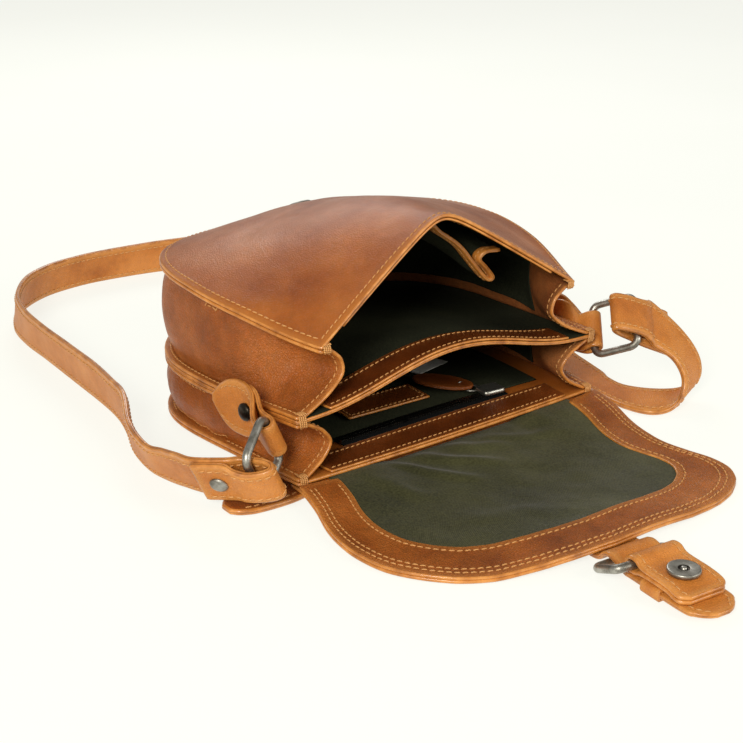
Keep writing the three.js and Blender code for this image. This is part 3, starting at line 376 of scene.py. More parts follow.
# Materials
class Nodes:
    """A node material with short calls for its usual nodes."""

    def __init__(self, name):
        self.m = bpy.data.materials.new(name)
        self.m.use_nodes = True
        self.t = self.m.node_tree
        self.t.nodes.clear()
        self.coords = self.add("TexCoord", {})
        self.bsdf = self.add("BsdfPrincipled", {})
        self.add("OutputMaterial", {"Surface": self.bsdf.outputs[0]})

    def add(self, kind, inputs, **values):
        n = self.t.nodes.new("ShaderNode" + kind)
        for key, value in values.items():
            setattr(n, key, value)
        self.put(n, inputs)
        return n

    def put(self, node, inputs):
        """Sets each input to a number or colour, or links it to another node's output."""
        for key, value in inputs.items():
            socket = node.inputs[key]
            if isinstance(value, bpy.types.NodeSocket):
                self.t.links.new(value, socket)
            else:
                socket.default_value = (*value, 1) if socket.type == "RGBA" else value

    def surface(self, inputs):
        self.put(self.bsdf, inputs)

    def place(self, source="Object", stretch=None):
        """Coordinates, stretched by (x, y, z) and turned by the three angles after them."""
        spot = self.coords.outputs[source]
        if stretch is None:
            return spot
        turned_spot = {"Scale": stretch[:3], "Rotation": stretch[3:], "Vector": spot}
        return self.add("Mapping", turned_spot).outputs["Vector"]

    def spots(self, scale, detail=4.0, rough=0.55, stretch=None):
        spot = self.place(stretch=stretch)
        inputs = {"Scale": scale, "Detail": detail, "Roughness": rough, "Vector": spot}
        return self.add("TexNoise", inputs).outputs["Fac"]

    def cells(self, scale):
        inputs = {"Scale": scale, "Vector": self.place()}
        return self.add("TexVoronoi", inputs, feature="DISTANCE_TO_EDGE").outputs["Distance"]

    def ramp(self, fac, stops):
        n = self.add("ValToRGB", {"Fac": fac})
        e = n.color_ramp.elements
        while len(e) < len(stops):
            e.new(0.5)
        for item, (at, colour) in zip(e, stops):
            item.position = at
            item.color = (*colour, 1)
        return n.outputs["Color"]

    def levels(self, fac, low, high, out_low=0.0, out_high=1.0):
        inputs = {"Value": fac, "From Min": low, "From Max": high, "To Min": out_low, "To Max": out_high}
        return self.add("MapRange", inputs).outputs["Result"]

    def math(self, how, a, b):
        return self.add("Math", {0: a, 1: b}, operation=how).outputs[0]

    def blend(self, fac, a, b, how="MIX"):
        return self.add("Mix", {0: fac, 6: a, 7: b}, data_type="RGBA", blend_type=how).outputs[2]

    def bump(self, height, strength, depth):
        """Adds a bump over those that the surface has already."""
        n = self.add("Bump", {"Strength": strength, "Distance": depth, "Height": height})
        normal = self.bsdf.inputs["Normal"]
        if normal.is_linked:
            self.put(n, {"Normal": normal.links[0].from_socket})
        self.surface({"Normal": n.outputs[0]})


def srgb(r, g, b):
    c = np.array((r, g, b), float) / 255
    return tuple(float(x) for x in np.where(c <= 0.04045, c / 12.92, ((c + 0.055) / 1.055) ** 2.4))


def leather(name, base, light, dark, rough=0.42, grain=0.35, scratch=0.3, wrinkle=0.3, coat=0.1, ridges=0.0):
    """Oiled leather: cloudy tone, pores, fine scratches, worn edges, wrinkles and fine ridges."""
    n = Nodes(name)
    large = n.spots(22, 5, 0.6)
    small = n.spots(260, 4, 0.6)
    tone = n.ramp(large, [(0.3, dark), (0.5, base), (0.72, light)])
    tone = n.blend(0.35, tone, n.ramp(small, [(0.3, dark), (0.7, light)]), "OVERLAY")
    pores = n.cells(750)
    tone = n.blend(n.levels(pores, 0.0, 0.12, 0.35 * grain, 0.0), tone, tuple(0.45 * c for c in dark))
    if scratch:
        marks = n.spots(90, 6, 0.7, stretch=(1.0, 9.0, 3.0, 0.3, 0.2, 0.5))
        tone = n.blend(n.levels(marks, 0.6, 0.75, 0.0, scratch), tone, light)
        marks = n.spots(60, 6, 0.75, stretch=(10.0, 1.0, 3.0, 0.1, 0.3, -0.4))
        tone = n.blend(n.levels(marks, 0.62, 0.78, 0.0, scratch), tone, tuple(0.5 * c for c in dark))
    worn = n.add("Attribute", {}, attribute_name="edge")
    near = n.levels(worn.outputs["Fac"], 0.0, 0.004, 0.45, 0.0)
    gloss = n.levels(large, 0.3, 0.7, rough + 0.08, rough - 0.08)
    n.surface({"Base Color": n.blend(near, tone, light), "Roughness": gloss, "Coat Weight": coat,
               "Coat Roughness": 0.35, "Specular IOR Level": 0.25})
    n.bump(n.spots(70, 6, 0.6), wrinkle, 0.0012)
    if ridges:
        n.bump(n.spots(420, 3, 0.7, stretch=(1.0, 0.3, 1.2, 0.5, 0.0, 0.2)), ridges, 0.0008)
    n.bump(n.math("ADD", n.levels(pores, 0, 0.25), n.math("MULTIPLY", n.spots(1500, 2), 0.5)), grain, 0.0003)
    return n.m


def cloth(name, base, light, dark, period=0.0007, sheen=0.3, rough=0.8):
    """Woven cloth: two crossed waves as threads, with slubs and soft creases."""
    n = Nodes(name)
    waves = []
    for turn in (0.785, -0.785):
        inputs = {"Scale": 0.314 / period, "Distortion": 0.6, "Detail Scale": 2.0,
                  "Vector": n.place("UV", (1, 1, 1, 0, 0, turn))}
        wave = n.add("TexWave", inputs, wave_type="BANDS", bands_direction="X", wave_profile="SIN")
        waves.append(wave.outputs["Fac"])
    weave = n.math("MULTIPLY", waves[0], waves[1])
    tone = n.ramp(n.spots(18, 4), [(0.3, dark), (0.55, base), (0.8, light)])
    tone = n.blend(n.levels(weave, 0.0, 0.8, 0.45, 0.0), tone, tuple(0.5 * c for c in dark))
    tone = n.blend(0.25, tone, n.ramp(n.spots(900, 3), [(0.35, dark), (0.65, light)]))
    n.surface({"Base Color": tone, "Roughness": rough, "Sheen Weight": sheen, "Sheen Roughness": 0.4,
               "Specular IOR Level": 0.12})
    n.bump(n.spots(60, 5, 0.55), 0.35, 0.0015)
    n.bump(weave, 0.4, 0.0002)
    return n.m


def metal(name, base, dark, rough):
    """Plated metal with worn, darker spots."""
    n = Nodes(name)
    wear = n.spots(160, 6, 0.65)
    n.surface({"Base Color": n.ramp(wear, [(0.35, dark), (0.6, base)]),
               "Roughness": n.levels(wear, 0.3, 0.7, rough + 0.2, rough), "Metallic": 1.0})
    n.bump(n.spots(500, 4), 0.12, 0.0002)
    return n.m


def thread(name, base, dark):
    n = Nodes(name)
    inputs = {"Scale": 700, "Vector": n.place()}
    ply = n.add("TexWave", inputs, wave_type="BANDS", bands_direction="DIAGONAL").outputs["Fac"]
    n.surface({"Base Color": n.ramp(ply, [(0.2, dark), (0.7, base)]), "Roughness": 0.6})
    n.bump(ply, 0.4, 0.0001)
    return n.m


def painted(name, base, light, dark):
    n = Nodes(name)
    tone = n.ramp(n.spots(120, 5, 0.65), [(0.3, dark), (0.5, base), (0.7, light)])
    n.surface({"Base Color": tone, "Roughness": 0.35, "Coat Weight": 0.2})
    n.bump(n.spots(350, 4), 0.25, 0.0004)
    return n.m


TAN = leather("tan_leather", srgb(162, 97, 36), srgb(182, 117, 52), srgb(136, 74, 22),
              rough=0.42, grain=0.3, scratch=0.22, wrinkle=0.15, coat=0.05)
GRAINED = leather("grained_leather", srgb(164, 98, 38), srgb(192, 124, 60), srgb(122, 66, 22),
                  rough=0.42, grain=0.7, scratch=0.1, wrinkle=0.5, coat=0.06, ridges=0.7)
STRAP = leather("strap_leather", srgb(194, 131, 58), srgb(212, 152, 80), srgb(168, 106, 42),
                rough=0.47, grain=0.5, scratch=0.1, wrinkle=0.25, coat=0.05)
DARK = leather("facing_leather", srgb(112, 56, 18), srgb(140, 76, 32), srgb(80, 36, 10),
               rough=0.34, grain=0.5, scratch=0.15, wrinkle=0.3, coat=0.2)
TIP = leather("tip_leather", srgb(150, 84, 32), srgb(172, 106, 48), srgb(112, 58, 20),
              rough=0.42, grain=0.6, scratch=0.15, wrinkle=0.4)
FLESH = leather("flesh_side", srgb(160, 100, 50), srgb(182, 122, 70), srgb(124, 72, 32),
                rough=0.7, grain=0.8, scratch=0.0, wrinkle=0.3, coat=0.0)
GREEN = cloth("olive_lining", srgb(72, 71, 42), srgb(104, 102, 68), srgb(42, 43, 24), sheen=0.12, rough=0.6)
# The olive lining again, made darker: painted shade for the cloth inside the bag and on the divider.
PAINTED_SHADE_LINING = cloth("lining_with_painted_shade", srgb(46, 49, 34), srgb(68, 69, 48), srgb(26, 28, 19), sheen=0.0, rough=0.85)
WHITE = cloth("label_cloth", srgb(228, 226, 218), srgb(240, 238, 232), srgb(200, 198, 190), period=0.0005)
BLACK = cloth("zip_tape", srgb(14, 14, 15), srgb(26, 26, 28), srgb(6, 6, 7), period=0.0006, sheen=0.0)
NICKEL = metal("antique_nickel", srgb(182, 179, 170), srgb(116, 112, 102), 0.34)
DARKMETAL = metal("dark_metal", srgb(64, 58, 50), srgb(26, 24, 20), 0.28)
TEETH = metal("zip_teeth", srgb(120, 118, 112), srgb(36, 36, 36), 0.2)
THREAD = thread("thread", srgb(216, 160, 96), srgb(170, 112, 54))
EDGE = painted("edge_paint", srgb(190, 120, 50), srgb(214, 146, 72), srgb(150, 88, 32))
SEAM = painted("edge_line", srgb(96, 50, 18), srgb(130, 74, 34), srgb(60, 30, 10))


# Meshes
def grid_normals(p):
    """Unit normals of a grid of points."""
    n, m = p.shape[:2]
    total = np.zeros_like(p)
    a, b, c, d = p[:-1, :-1], p[1:, :-1], p[1:, 1:], p[:-1, 1:]
    face = np.cross(c - a, d - b)
    total[:-1, :-1] += face
    total[1:, :-1] += face
    total[1:, 1:] += face
    total[:-1, 1:] += face
    return unit(total)


def mesh_object(name, verts, faces, mats, index=None, uv=None, edge=None):
    me = bpy.data.meshes.new(name)
    me.from_pydata((np.asarray(verts) * MM).tolist(), [], [tuple(int(k) for k in f) for f in faces])
    for m in mats:
        me.materials.append(m)
    if index is not None:
        me.polygons.foreach_set("material_index", np.asarray(index, np.int32))
    me.polygons.foreach_set("use_smooth", np.ones(len(me.polygons), bool))
    if uv is not None:
        layer = me.uv_layers.new(name="UVMap")
        loops = np.zeros(len(me.loops), np.int32)
        me.loops.foreach_get("vertex_index", loops)
        layer.data.foreach_set("uv", np.asarray(uv, np.float32)[loops].ravel())
    if edge is not None:
        layer = me.attributes.new("edge", "FLOAT", "POINT")
        layer.data.foreach_set("value", np.asarray(edge, np.float32))
    me.validate()
    me.update()
    o = bpy.data.objects.new(name, me)
    scene.collection.objects.link(o)
    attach(o, "root")
    return o


RIMS = {"single": ((30, 60, 90, 120, 150), None), "double": ((35, 70, 86, 94, 110, 145), 3)}


def wall(name, surface, nu, nv, thick, lift, mats, node, rim="single", push=None):
    """Closed wall on a surface, with mats for its upper face, lower face and rim; it replaces node."""
    u, v = np.meshgrid(np.linspace(0, 1, nu + 1), np.linspace(0, 1, nv + 1), indexing="ij")
    p = surface(u, v)
    n = grid_normals(p)
    if push is not None:
        p = p + n * push(p, u, v)[..., None]
        n = grid_normals(p)
    top, low = p + n * (lift + thick / 2), p + n * (lift - thick / 2)
    size = (nu + 1) * (nv + 1)
    at = np.arange(size).reshape(nu + 1, nv + 1)
    loop = np.concatenate([at[:-1, 0], at[-1, :-1], at[:0:-1, -1], at[0, :0:-1]])
    flat, normal = p.reshape(-1, 3), n.reshape(-1, 3)
    q = flat[loop]
    way = unit(np.roll(q, -1, 0) - np.roll(q, 1, 0))
    out = unit(np.cross(way, normal[loop]))
    inward = p[nu // 2, 1] - p[nu // 2, 0]
    if np.dot(out[nu // 2], inward) > 0:
        out = -out
    angles, dark = RIMS[rim]
    verts = [top.reshape(-1, 3), low.reshape(-1, 3)]
    for k, a in enumerate(angles):
        r = np.radians(a)
        bulge = thick / 2 * EDGE_ROUND * np.sin(r)
        if dark is not None and 86 <= a <= 94:
            bulge -= 0.22
        verts.append(q + normal[loop] * (lift + thick / 2 * np.cos(r)) + out * bulge)
    verts = np.concatenate(verts)
    count = len(loop)
    a, b, c, d = at[:-1, :-1].ravel(), at[1:, :-1].ravel(), at[1:, 1:].ravel(), at[:-1, 1:].ravel()
    faces = [np.stack([a, b, c, d], 1), np.stack([a, d, c, b], 1) + size]
    index = [np.zeros(len(a), int), np.ones(len(a), int)]
    rings = [loop] + [2 * size + k * count + np.arange(count) for k in range(len(angles))] + [loop + size]
    for k in range(len(rings) - 1):
        r0, r1 = rings[k], rings[k + 1]
        s0, s1 = np.roll(r0, -1), np.roll(r1, -1)
        faces.append(np.stack([r0, r1, s1, s0], 1))
        index.append(np.full(count, 3 if dark is not None and k == dark else 2))
    du = np.linalg.norm(np.diff(p, axis=0), axis=2).mean(1)
    dv = np.linalg.norm(np.diff(p, axis=1), axis=2).mean(0)
    su, sv = np.concatenate([[0], np.cumsum(du)]), np.concatenate([[0], np.cumsum(dv)])
    uu, vv = np.meshgrid(su, sv, indexing="ij")
    uv = np.stack([uu, vv], -1).reshape(-1, 2) * MM
    uv = np.concatenate([uv, uv] + [uv[loop]] * len(angles))
    border = np.minimum(np.minimum(uu, su[-1] - uu), np.minimum(vv, sv[-1] - vv)).ravel() * MM
    border = np.concatenate([border, border] + [np.zeros(count)] * len(angles))
    faces = np.concatenate(faces)
    index = np.concatenate(index)
    # The signed volume tells which way the faces point.
    tri = verts[faces]
    volume = np.einsum("ij,ij->i", tri[:, 0], np.cross(tri[:, 1], tri[:, 2])).sum()
    volume += np.einsum("ij,ij->i", tri[:, 0], np.cross(tri[:, 2], tri[:, 3])).sum()
    if volume < 0:
        faces = faces[:, ::-1]
    o = mesh_object(name, verts, faces, (*mats, SEAM)[:4], index, uv, border)
    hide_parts(node)
    return o


def swept(name, points, radius, sides, node=None):
    """Closed wire ring along points."""
    p = np.array(points, float)
    way = unit(np.roll(p, -1, 0) - np.roll(p, 1, 0))
    up = np.broadcast_to(unit(np.cross(p[1] - p[0], p[len(p) // 3] - p[0])), p.shape)
    side = unit(np.cross(up, way))
    angle = np.arange(sides) / sides * 2 * np.pi
    verts = (p[:, None] + side[:, None] * (radius * np.cos(angle))[None, :, None]
             + up[:, None] * (radius * np.sin(angle))[None, :, None])
    at = np.arange(len(p) * sides).reshape(len(p), sides)
    after = np.roll(at, -1, 0)
    faces = np.stack([at, after, np.roll(after, -1, 1), np.roll(at, -1, 1)], -1).reshape(-1, 4)
    o = mesh_object(name, verts.reshape(-1, 3), faces, (NICKEL,))
    if node:
        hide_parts(node)


def frame_points(width, height, corner, steps=8):
    """Points of a rectangle with round corners."""
    out = []
    for sx, sz, quarter in ((1, 1, 0), (-1, 1, 1), (-1, -1, 2), (1, -1, 3)):
        for k in range(steps + 1):
            a = (quarter + k / steps) * np.pi / 2
            x = sx * (width / 2 - corner) + corner * np.cos(a)
            out.append((x, sz * (height / 2 - corner) + corner * np.sin(a)))
    return np.array(out)


def turned(name, profile, sides, spot, axes, mats, node, index=None):
    """Turned piece: profile of (radius, height), local axes as rows."""
    rows = np.array(profile, float)
    a = np.arange(sides) / sides * 2 * np.pi
    ring = np.stack([np.cos(a), np.sin(a)], -1)
    local = np.concatenate([np.concatenate([ring * r, np.full((sides, 1), h)], 1) for r, h in rows])
    verts = spot + local @ np.array(axes, float)
    faces = []
    kinds = []
    for k in range(len(rows) - 1):
        for j in range(sides):
            n = (j + 1) % sides
            faces.append((k * sides + j, k * sides + n, (k + 1) * sides + n, (k + 1) * sides + j))
            kinds.append(0 if index is None else index[k])
    faces += [tuple(range(sides))[::-1], tuple((len(rows) - 1) * sides + j for j in range(sides))]
    kinds += [0, kinds[-1]]
    o = mesh_object(name, verts, faces, mats, kinds)
    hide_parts(node)


STITCHES = {}


def stitch_row(group, surface, path, height, pitch=3.4, length=2.6, radius=0.33):
    """Stitches along a path of (u, v) on a surface, standing on its upper or lower side."""
    uv = path(np.linspace(0, 1, 1600))
    step = 1e-3
    u, v = uv[:, 0], uv[:, 1]
    before, after = np.clip(uv - step, 0, 1), np.clip(uv + step, 0, 1)
    du = surface(after[:, 0], v) - surface(before[:, 0], v)
    dv = surface(u, after[:, 1]) - surface(u, before[:, 1])
    n = unit(np.cross(du, dv))
    stitch_line(group, surface(u, v) + n * height, n * np.sign(height), pitch, length, radius)


def add_stitch(group, spot, way, up, length, radius):
    side = np.cross(up, way)
    turn = np.arange(STITCH_SIDES) / STITCH_SIDES * 2 * np.pi
    verts = []
    for along, wide, lift in STITCH_ROWS:
        middle = spot + way * (along * length) + up * (lift * radius)
        round_it = side * (np.cos(turn) * radius * wide)[:, None]
        verts.append(middle + round_it + up * (np.sin(turn) * radius * wide)[:, None])
    STITCHES.setdefault(group, []).append(np.concatenate(verts))


def stitch_line(group, p, n, pitch, length, radius):
    """Evenly spaced, slightly slanted stitches along a polyline with normals n."""
    gone = np.concatenate([[0], np.cumsum(np.linalg.norm(np.diff(p, axis=0), axis=1))])
    centres = np.arange(pitch * 0.5, gone[-1] - pitch * 0.3, pitch)

    def at(s, a):
        return np.stack([np.interp(s, gone, a[:, k]) for k in range(3)], -1)
    c, up = at(centres, p), unit(at(centres, n))
    way = at(centres + 0.6, p) - at(centres - 0.6, p)
    way = unit(way - up * np.sum(way * up, -1, keepdims=True))
    slant = unit(way + 0.1 * np.cross(up, way))
    for spot, w, z in zip(c, slant, up):
        add_stitch(group, spot, w, z, length, radius)


def settle(piece, points, reach, way=(0, 0, -1)):
    """Where rays through points meet the piece, and its normals there, in millimetres."""
    mesh = piece.data
    tree = BVHTree.FromPolygons([v.co for v in mesh.vertices], [tuple(f.vertices) for f in mesh.polygons])
    way = Vector(way)
    spots, normals = [], []
    for p in points:
        start = Vector([float(c) * MM for c in p]) - way * reach * MM
        spot, normal, _, _ = tree.ray_cast(start, way, 2 * reach * MM)
        if spot is not None:
            spots.append(np.array(spot) / MM)
            normals.append(-np.array(normal) if normal.dot(way) > 0 else np.array(normal))
    return np.array(spots), np.array(normals)


def finish_stitches():
    """Joins each group of stitches into one piece."""
    last = len(STITCH_ROWS) - 1

    def corner(row, side):
        return row * STITCH_SIDES + side % STITCH_SIDES
    faces_of_one = [(corner(k, j), corner(k + 1, j), corner(k + 1, j + 1), corner(k, j + 1))
                    for k in range(last) for j in range(STITCH_SIDES)]
    faces_of_one.append(tuple(corner(0, j) for j in range(STITCH_SIDES)))
    faces_of_one.append(tuple(corner(last, j) for j in range(STITCH_SIDES))[::-1])
    for group, items in STITCHES.items():
        size = len(STITCH_ROWS) * STITCH_SIDES
        faces = [tuple(i + k * size for i in face) for k in range(len(items)) for face in faces_of_one]
        o = mesh_object(group, np.concatenate(items), faces, (THREAD,))


def line_u(v, u0, u1):
    """Path along u at one v."""
    return lambda t: np.stack([mix(u0, u1, t), np.full_like(t, v)], -1)


def line_v(u, v0, v1):
    """Path along v at one u."""
    return lambda t: np.stack([np.full_like(t, u), mix(v0, v1, t)], -1)


# Body
def dents(size, depth, seed):
    """A push that dents a surface softly."""
    return lambda p, u, v: depth * (noise(p, size, seed) + 0.5 * noise(p, size / 2.3, seed + 3))


def calm(push, reach=0.06):
    """The same push, fading out towards the edges."""
    def inner(p, u, v):
        fade = smooth(0, reach, u) * smooth(0, reach, 1 - u) * smooth(0, reach, v) * smooth(0, reach, 1 - v)
        return push(p, u, v) * fade
    return inner


def body():
    front = wall("front_panel_leather", front_surface, 90, 80, LEATHER, 0, (TAN, FLESH, EDGE), "front_panel",
                 push=calm(dents(34, 0.45, 1)))
    # Both faces of the divider take the darker lining cloth with painted shade.
    wall("divider_board", middle_surface, 60, 50, BOARD, 0, (PAINTED_SHADE_LINING, PAINTED_SHADE_LINING, EDGE), "divider", rim="double")
    wall("back_panel_leather", back_surface, 60, 50, LEATHER, 0, (TAN, FLESH, EDGE), "back_panel")
    gussets = []
    for name, surface, seed in (("front_gusset", front_gusset, 5), ("back_gusset", back_gusset, 8)):
        def folds(p, u, v, seed=seed):
            inner = smooth(0.14, 0.26, v) * smooth(0.14, 0.26, 1 - v)
            inner = inner * smooth(0.01, 0.04, 0.5 - np.abs(u - 0.5))
            creases = np.abs(noise(p * arr(1, 1, 0.35), 13, seed)) - 0.3
            return inner * (0.9 * noise(p, 26, seed) + 1.1 * creases)
        gussets.append(wall(name + "_leather", surface, 260, 40, LEATHER, 0, (GRAINED, FLESH, EDGE), name,
                            push=folds))
        hem = 0.0075
        for u in (hem, 1 - hem):
            for side in (1, -1):
                stitch_row("stitches_body", surface, line_v(u, 0.13, 0.87), side * (LEATHER / 2 + 0.05))
    place = np.linspace(-0.985, 0.985, 900)
    inset = FLANGE * 0.52
    above, below = (6.0, (0, 0, -1)), (7.0, (0, 0, 1))
    upper, lower = gussets
    for piece, seam, reach in ((front, "front", above), (upper, "middle", above), (lower, "back", above),
                               (upper, "front", below), (lower, "middle", below)):
        p = seam_point(seam, place) - seam_out(seam, place) * inset
        stitch_line("stitches_body", *settle(piece, p, *reach), *SEAM_STITCH)
    knots()


def knots():
    """Bar tacks that bind the seams' ends at the opening."""
    for seam, high, low in (("front", 1.2, 3.4), ("middle", 3.6, 3.6), ("back", 3.4, 1.0)):
        for side in (-1, 1):
            corner = seam_point(seam, np.array(float(side)))
            for k in range(4):
                spot = corner + arr(-side * (1.0 + 1.1 * k), -1.0, (high - low) / 2)
                add_stitch("stitches_body", spot, arr(0.15 * side, 0, 0.99), arr(0, -1, 0), high + low, 0.5)
                spot = corner + arr(-side * (1.2 + 1.1 * k), 1.2, high)
                add_stitch("stitches_body", spot, arr(0.1 * side, 0.99, 0), arr(0, 0, 1), 4.6, 0.5)


def sheet(surface):
    """Samples points of the surface that a cloth piece was cut for, and keeps nothing."""
    u, v = np.meshgrid(np.linspace(0, 1, 81), np.linspace(0, 1, 81), indexing="ij")
    p = surface(u, v) * MM


def linings():
    """Cloth linings and the dark facings along the mouths."""
    under = LEATHER / 2 + GAP + LINING / 2
    f, b = FRONT_MARGIN, BACK_MARGIN
    soft = calm(dents(16, 0.35, 11), 0.1)
    # The linings inside the bag take the darker cloth with painted shade.
    inside = (PAINTED_SHADE_LINING, PAINTED_SHADE_LINING, PAINTED_SHADE_LINING)
    spread = part_of(front_surface, f, 1 - f, FRONT_FACING, 1 - FRONT_FACING / 2)
    piece = wall("front_lining_cloth", spread, 60, 50, LINING, -under, inside, "front_lining", push=soft)
    sheet(spread)
    for name, surface in (("front_gusset", front_gusset), ("back_gusset", back_gusset)):
        spread = part_of(surface, 0.1, 0.9, 0.25, 0.75)
        node = name + "_lining"
        piece = wall(node + "_cloth", spread, 150, 16, LINING, -under, inside, node, push=soft)
        sheet(spread)
    start = (FACING_DEPTH + 8 + 3 * GAP) / BAG_DEPTH
    spread = part_of(back_surface, b, 1 - b, start, 1 - 1.2 * b)
    piece = wall("back_lining_cloth", spread, 60, 50, LINING, under, inside, "back_lining", push=soft)
    sheet(spread)
    on_leather, on_board = LEATHER / 2 + GAP + FACING / 2, BOARD / 2 + GAP + FACING / 2
    mats = (DARK, DARK, EDGE)
    front = part_of(front_surface, f, 1 - f, 0, FRONT_FACING - 0.004)
    middle = part_of(middle_surface, b, 1 - b, 0, INNER_FACING)
    back = part_of(back_surface, b, 1 - b, 0, INNER_FACING)
    wall("front_facing_leather", front, 70, 12, FACING, -on_leather, mats, "front_facing")
    wall("divider_facing_leather", middle, 60, 12, FACING, on_board, mats, "divider_facing")
    wall("back_facing_leather", back, 60, 12, FACING, on_leather, mats, "back_facing")
    top = FACING / 2 + 0.05
    for facing, v, height in ((middle, 0.86, on_board + top), (middle, 0.14, on_board + top),
                              (back, 0.86, on_leather + top), (back, 0.14, on_leather + top),
                              (front, 0.86, -on_leather - top)):
        stitch_row("stitches_body", facing, line_u(v, 0.01, 0.99), height)
    stitch_row("stitches_body", front_surface, line_u(0.02, 0.02, 0.98), LEATHER / 2 + 0.05)


def front_pocket():
    """Slip pocket inside the front panel, with a slack mouth and a rolled binding."""
    half, depth, start = 46.0, 74.0, 26.0
    side = 0.5 + half / (2 * FRONT_HALF)
    under = LEATHER / 2 + 2 * GAP + LINING + 1.5

    def hang(u, v):
        u, v = pair(u, v)
        at = (start + depth * v) / BAG_DEPTH
        spot = front_surface(mix(1 - side, side, u), at) - arr(0, 0, under)
        mouth = curve([(x, start, z) for x, z in POCKET_MOUTH], u)
        held = smooth(0, 0.85, v)[..., None]
        deep = spot[..., 1].copy()
        spot = mouth * (1 - held) + spot * held
        spot[..., 1] = deep
        return spot
    # The slip pocket takes the darker lining cloth with painted shade.
    piece = wall("slip_pocket_cloth", hang, 70, 30, 1.0, 0, (PAINTED_SHADE_LINING, PAINTED_SHADE_LINING, PAINTED_SHADE_LINING), "slip_pocket",
                 push=calm(dents(14, 0.5, 21), 0.1))
    sheet(hang)

    def rim(u, v):
        spot = hang(u, np.asarray(v, float) * 0.07)
        spot[..., 1] -= 0.9
        return spot
    wall("pocket_binding_leather", rim, 110, 6, 2.2, 0, (EDGE, EDGE, EDGE), "pocket_binding", rim="double")
    for height in (1.15, -1.15):
        stitch_row("stitches_body", rim, line_u(0.5, 0.02, 0.98), height, *FINE_STITCH)


# Flap
def flap():
    """The flap, its border, its creased lining and their stitches."""
    over = LEATHER / 2 + 0.15
    wall("flap_leather", flap_surface(HINGE_DEPTH, 1), 90, 100, LEATHER, 0, (FLESH, TAN, EDGE), "flap")
    wall("flap_border_leather", flap_border, 260, 12, FACING + 0.3, over + FACING / 2,
         (GRAINED, FLESH, EDGE), "flap_border")
    scale = 1 - BORDER / FLAP_HALF + 1.5 / FLAP_HALF
    cover = flap_surface(FLAP_MIDDLE[1] * (1 / scale - 1) + 3.0, scale)

    def puckers(p, u, v):
        total = 0.4 * noise(p, 24, 31) + 0.3 * noise(p, 9, 33)
        for x0, y0, x1, y1, high, wide in LINING_CREASES:
            way = arr(x1 - x0, y1 - y0)
            along = ((p[..., 0] - x0) * way[0] + (p[..., 1] - y0) * way[1]) / np.dot(way, way)
            across = ((p[..., 0] - x0) * way[1] - (p[..., 1] - y0) * way[0]) / np.linalg.norm(way)
            bend = across + 2.5 * noise(p, 16, 35)
            ends = smooth(-0.3, 0.25, along) * smooth(-0.3, 0.4, 1 - along)
            total = total + high * np.exp(-(bend / wide) ** 2) * ends
        return -total
    piece = wall("flap_lining_cloth", cover, 90, 70, LINING, -over - LINING / 2 + 0.3, (GREEN, GREEN, GREEN),
                 "flap_lining", push=calm(puckers, 0.05))
    sheet(cover)
    top = over + FACING + 0.2
    for v, start in ((0.14, 0.012), (0.26, 0.012), (0.87, 0.015)):
        stitch_row("stitches_flap", flap_border, line_u(v, start, 1 - start), top, *FLAP_STITCH)


def closure_row(p):
    """Turns points of the closing strap's own frame into the bag's."""
    cos, sin = np.cos(-CLOSURE_TURN), np.sin(-CLOSURE_TURN)
    return stack(CLOSURE_X + p[..., 0] * cos - p[..., 1] * sin,
                 -CLOSURE_START + p[..., 0] * sin + p[..., 1] * cos, p[..., 2])


def ribbon(table, width):
    """Strip along the closing strap through rows of down, height and share of the width."""
    base = band([(-width / 2 * h, -s, z) for s, z, h in table], [(width * h, 0, 0) for s, z, h in table])
    return lambda u, v: closure_row(base(u, v))


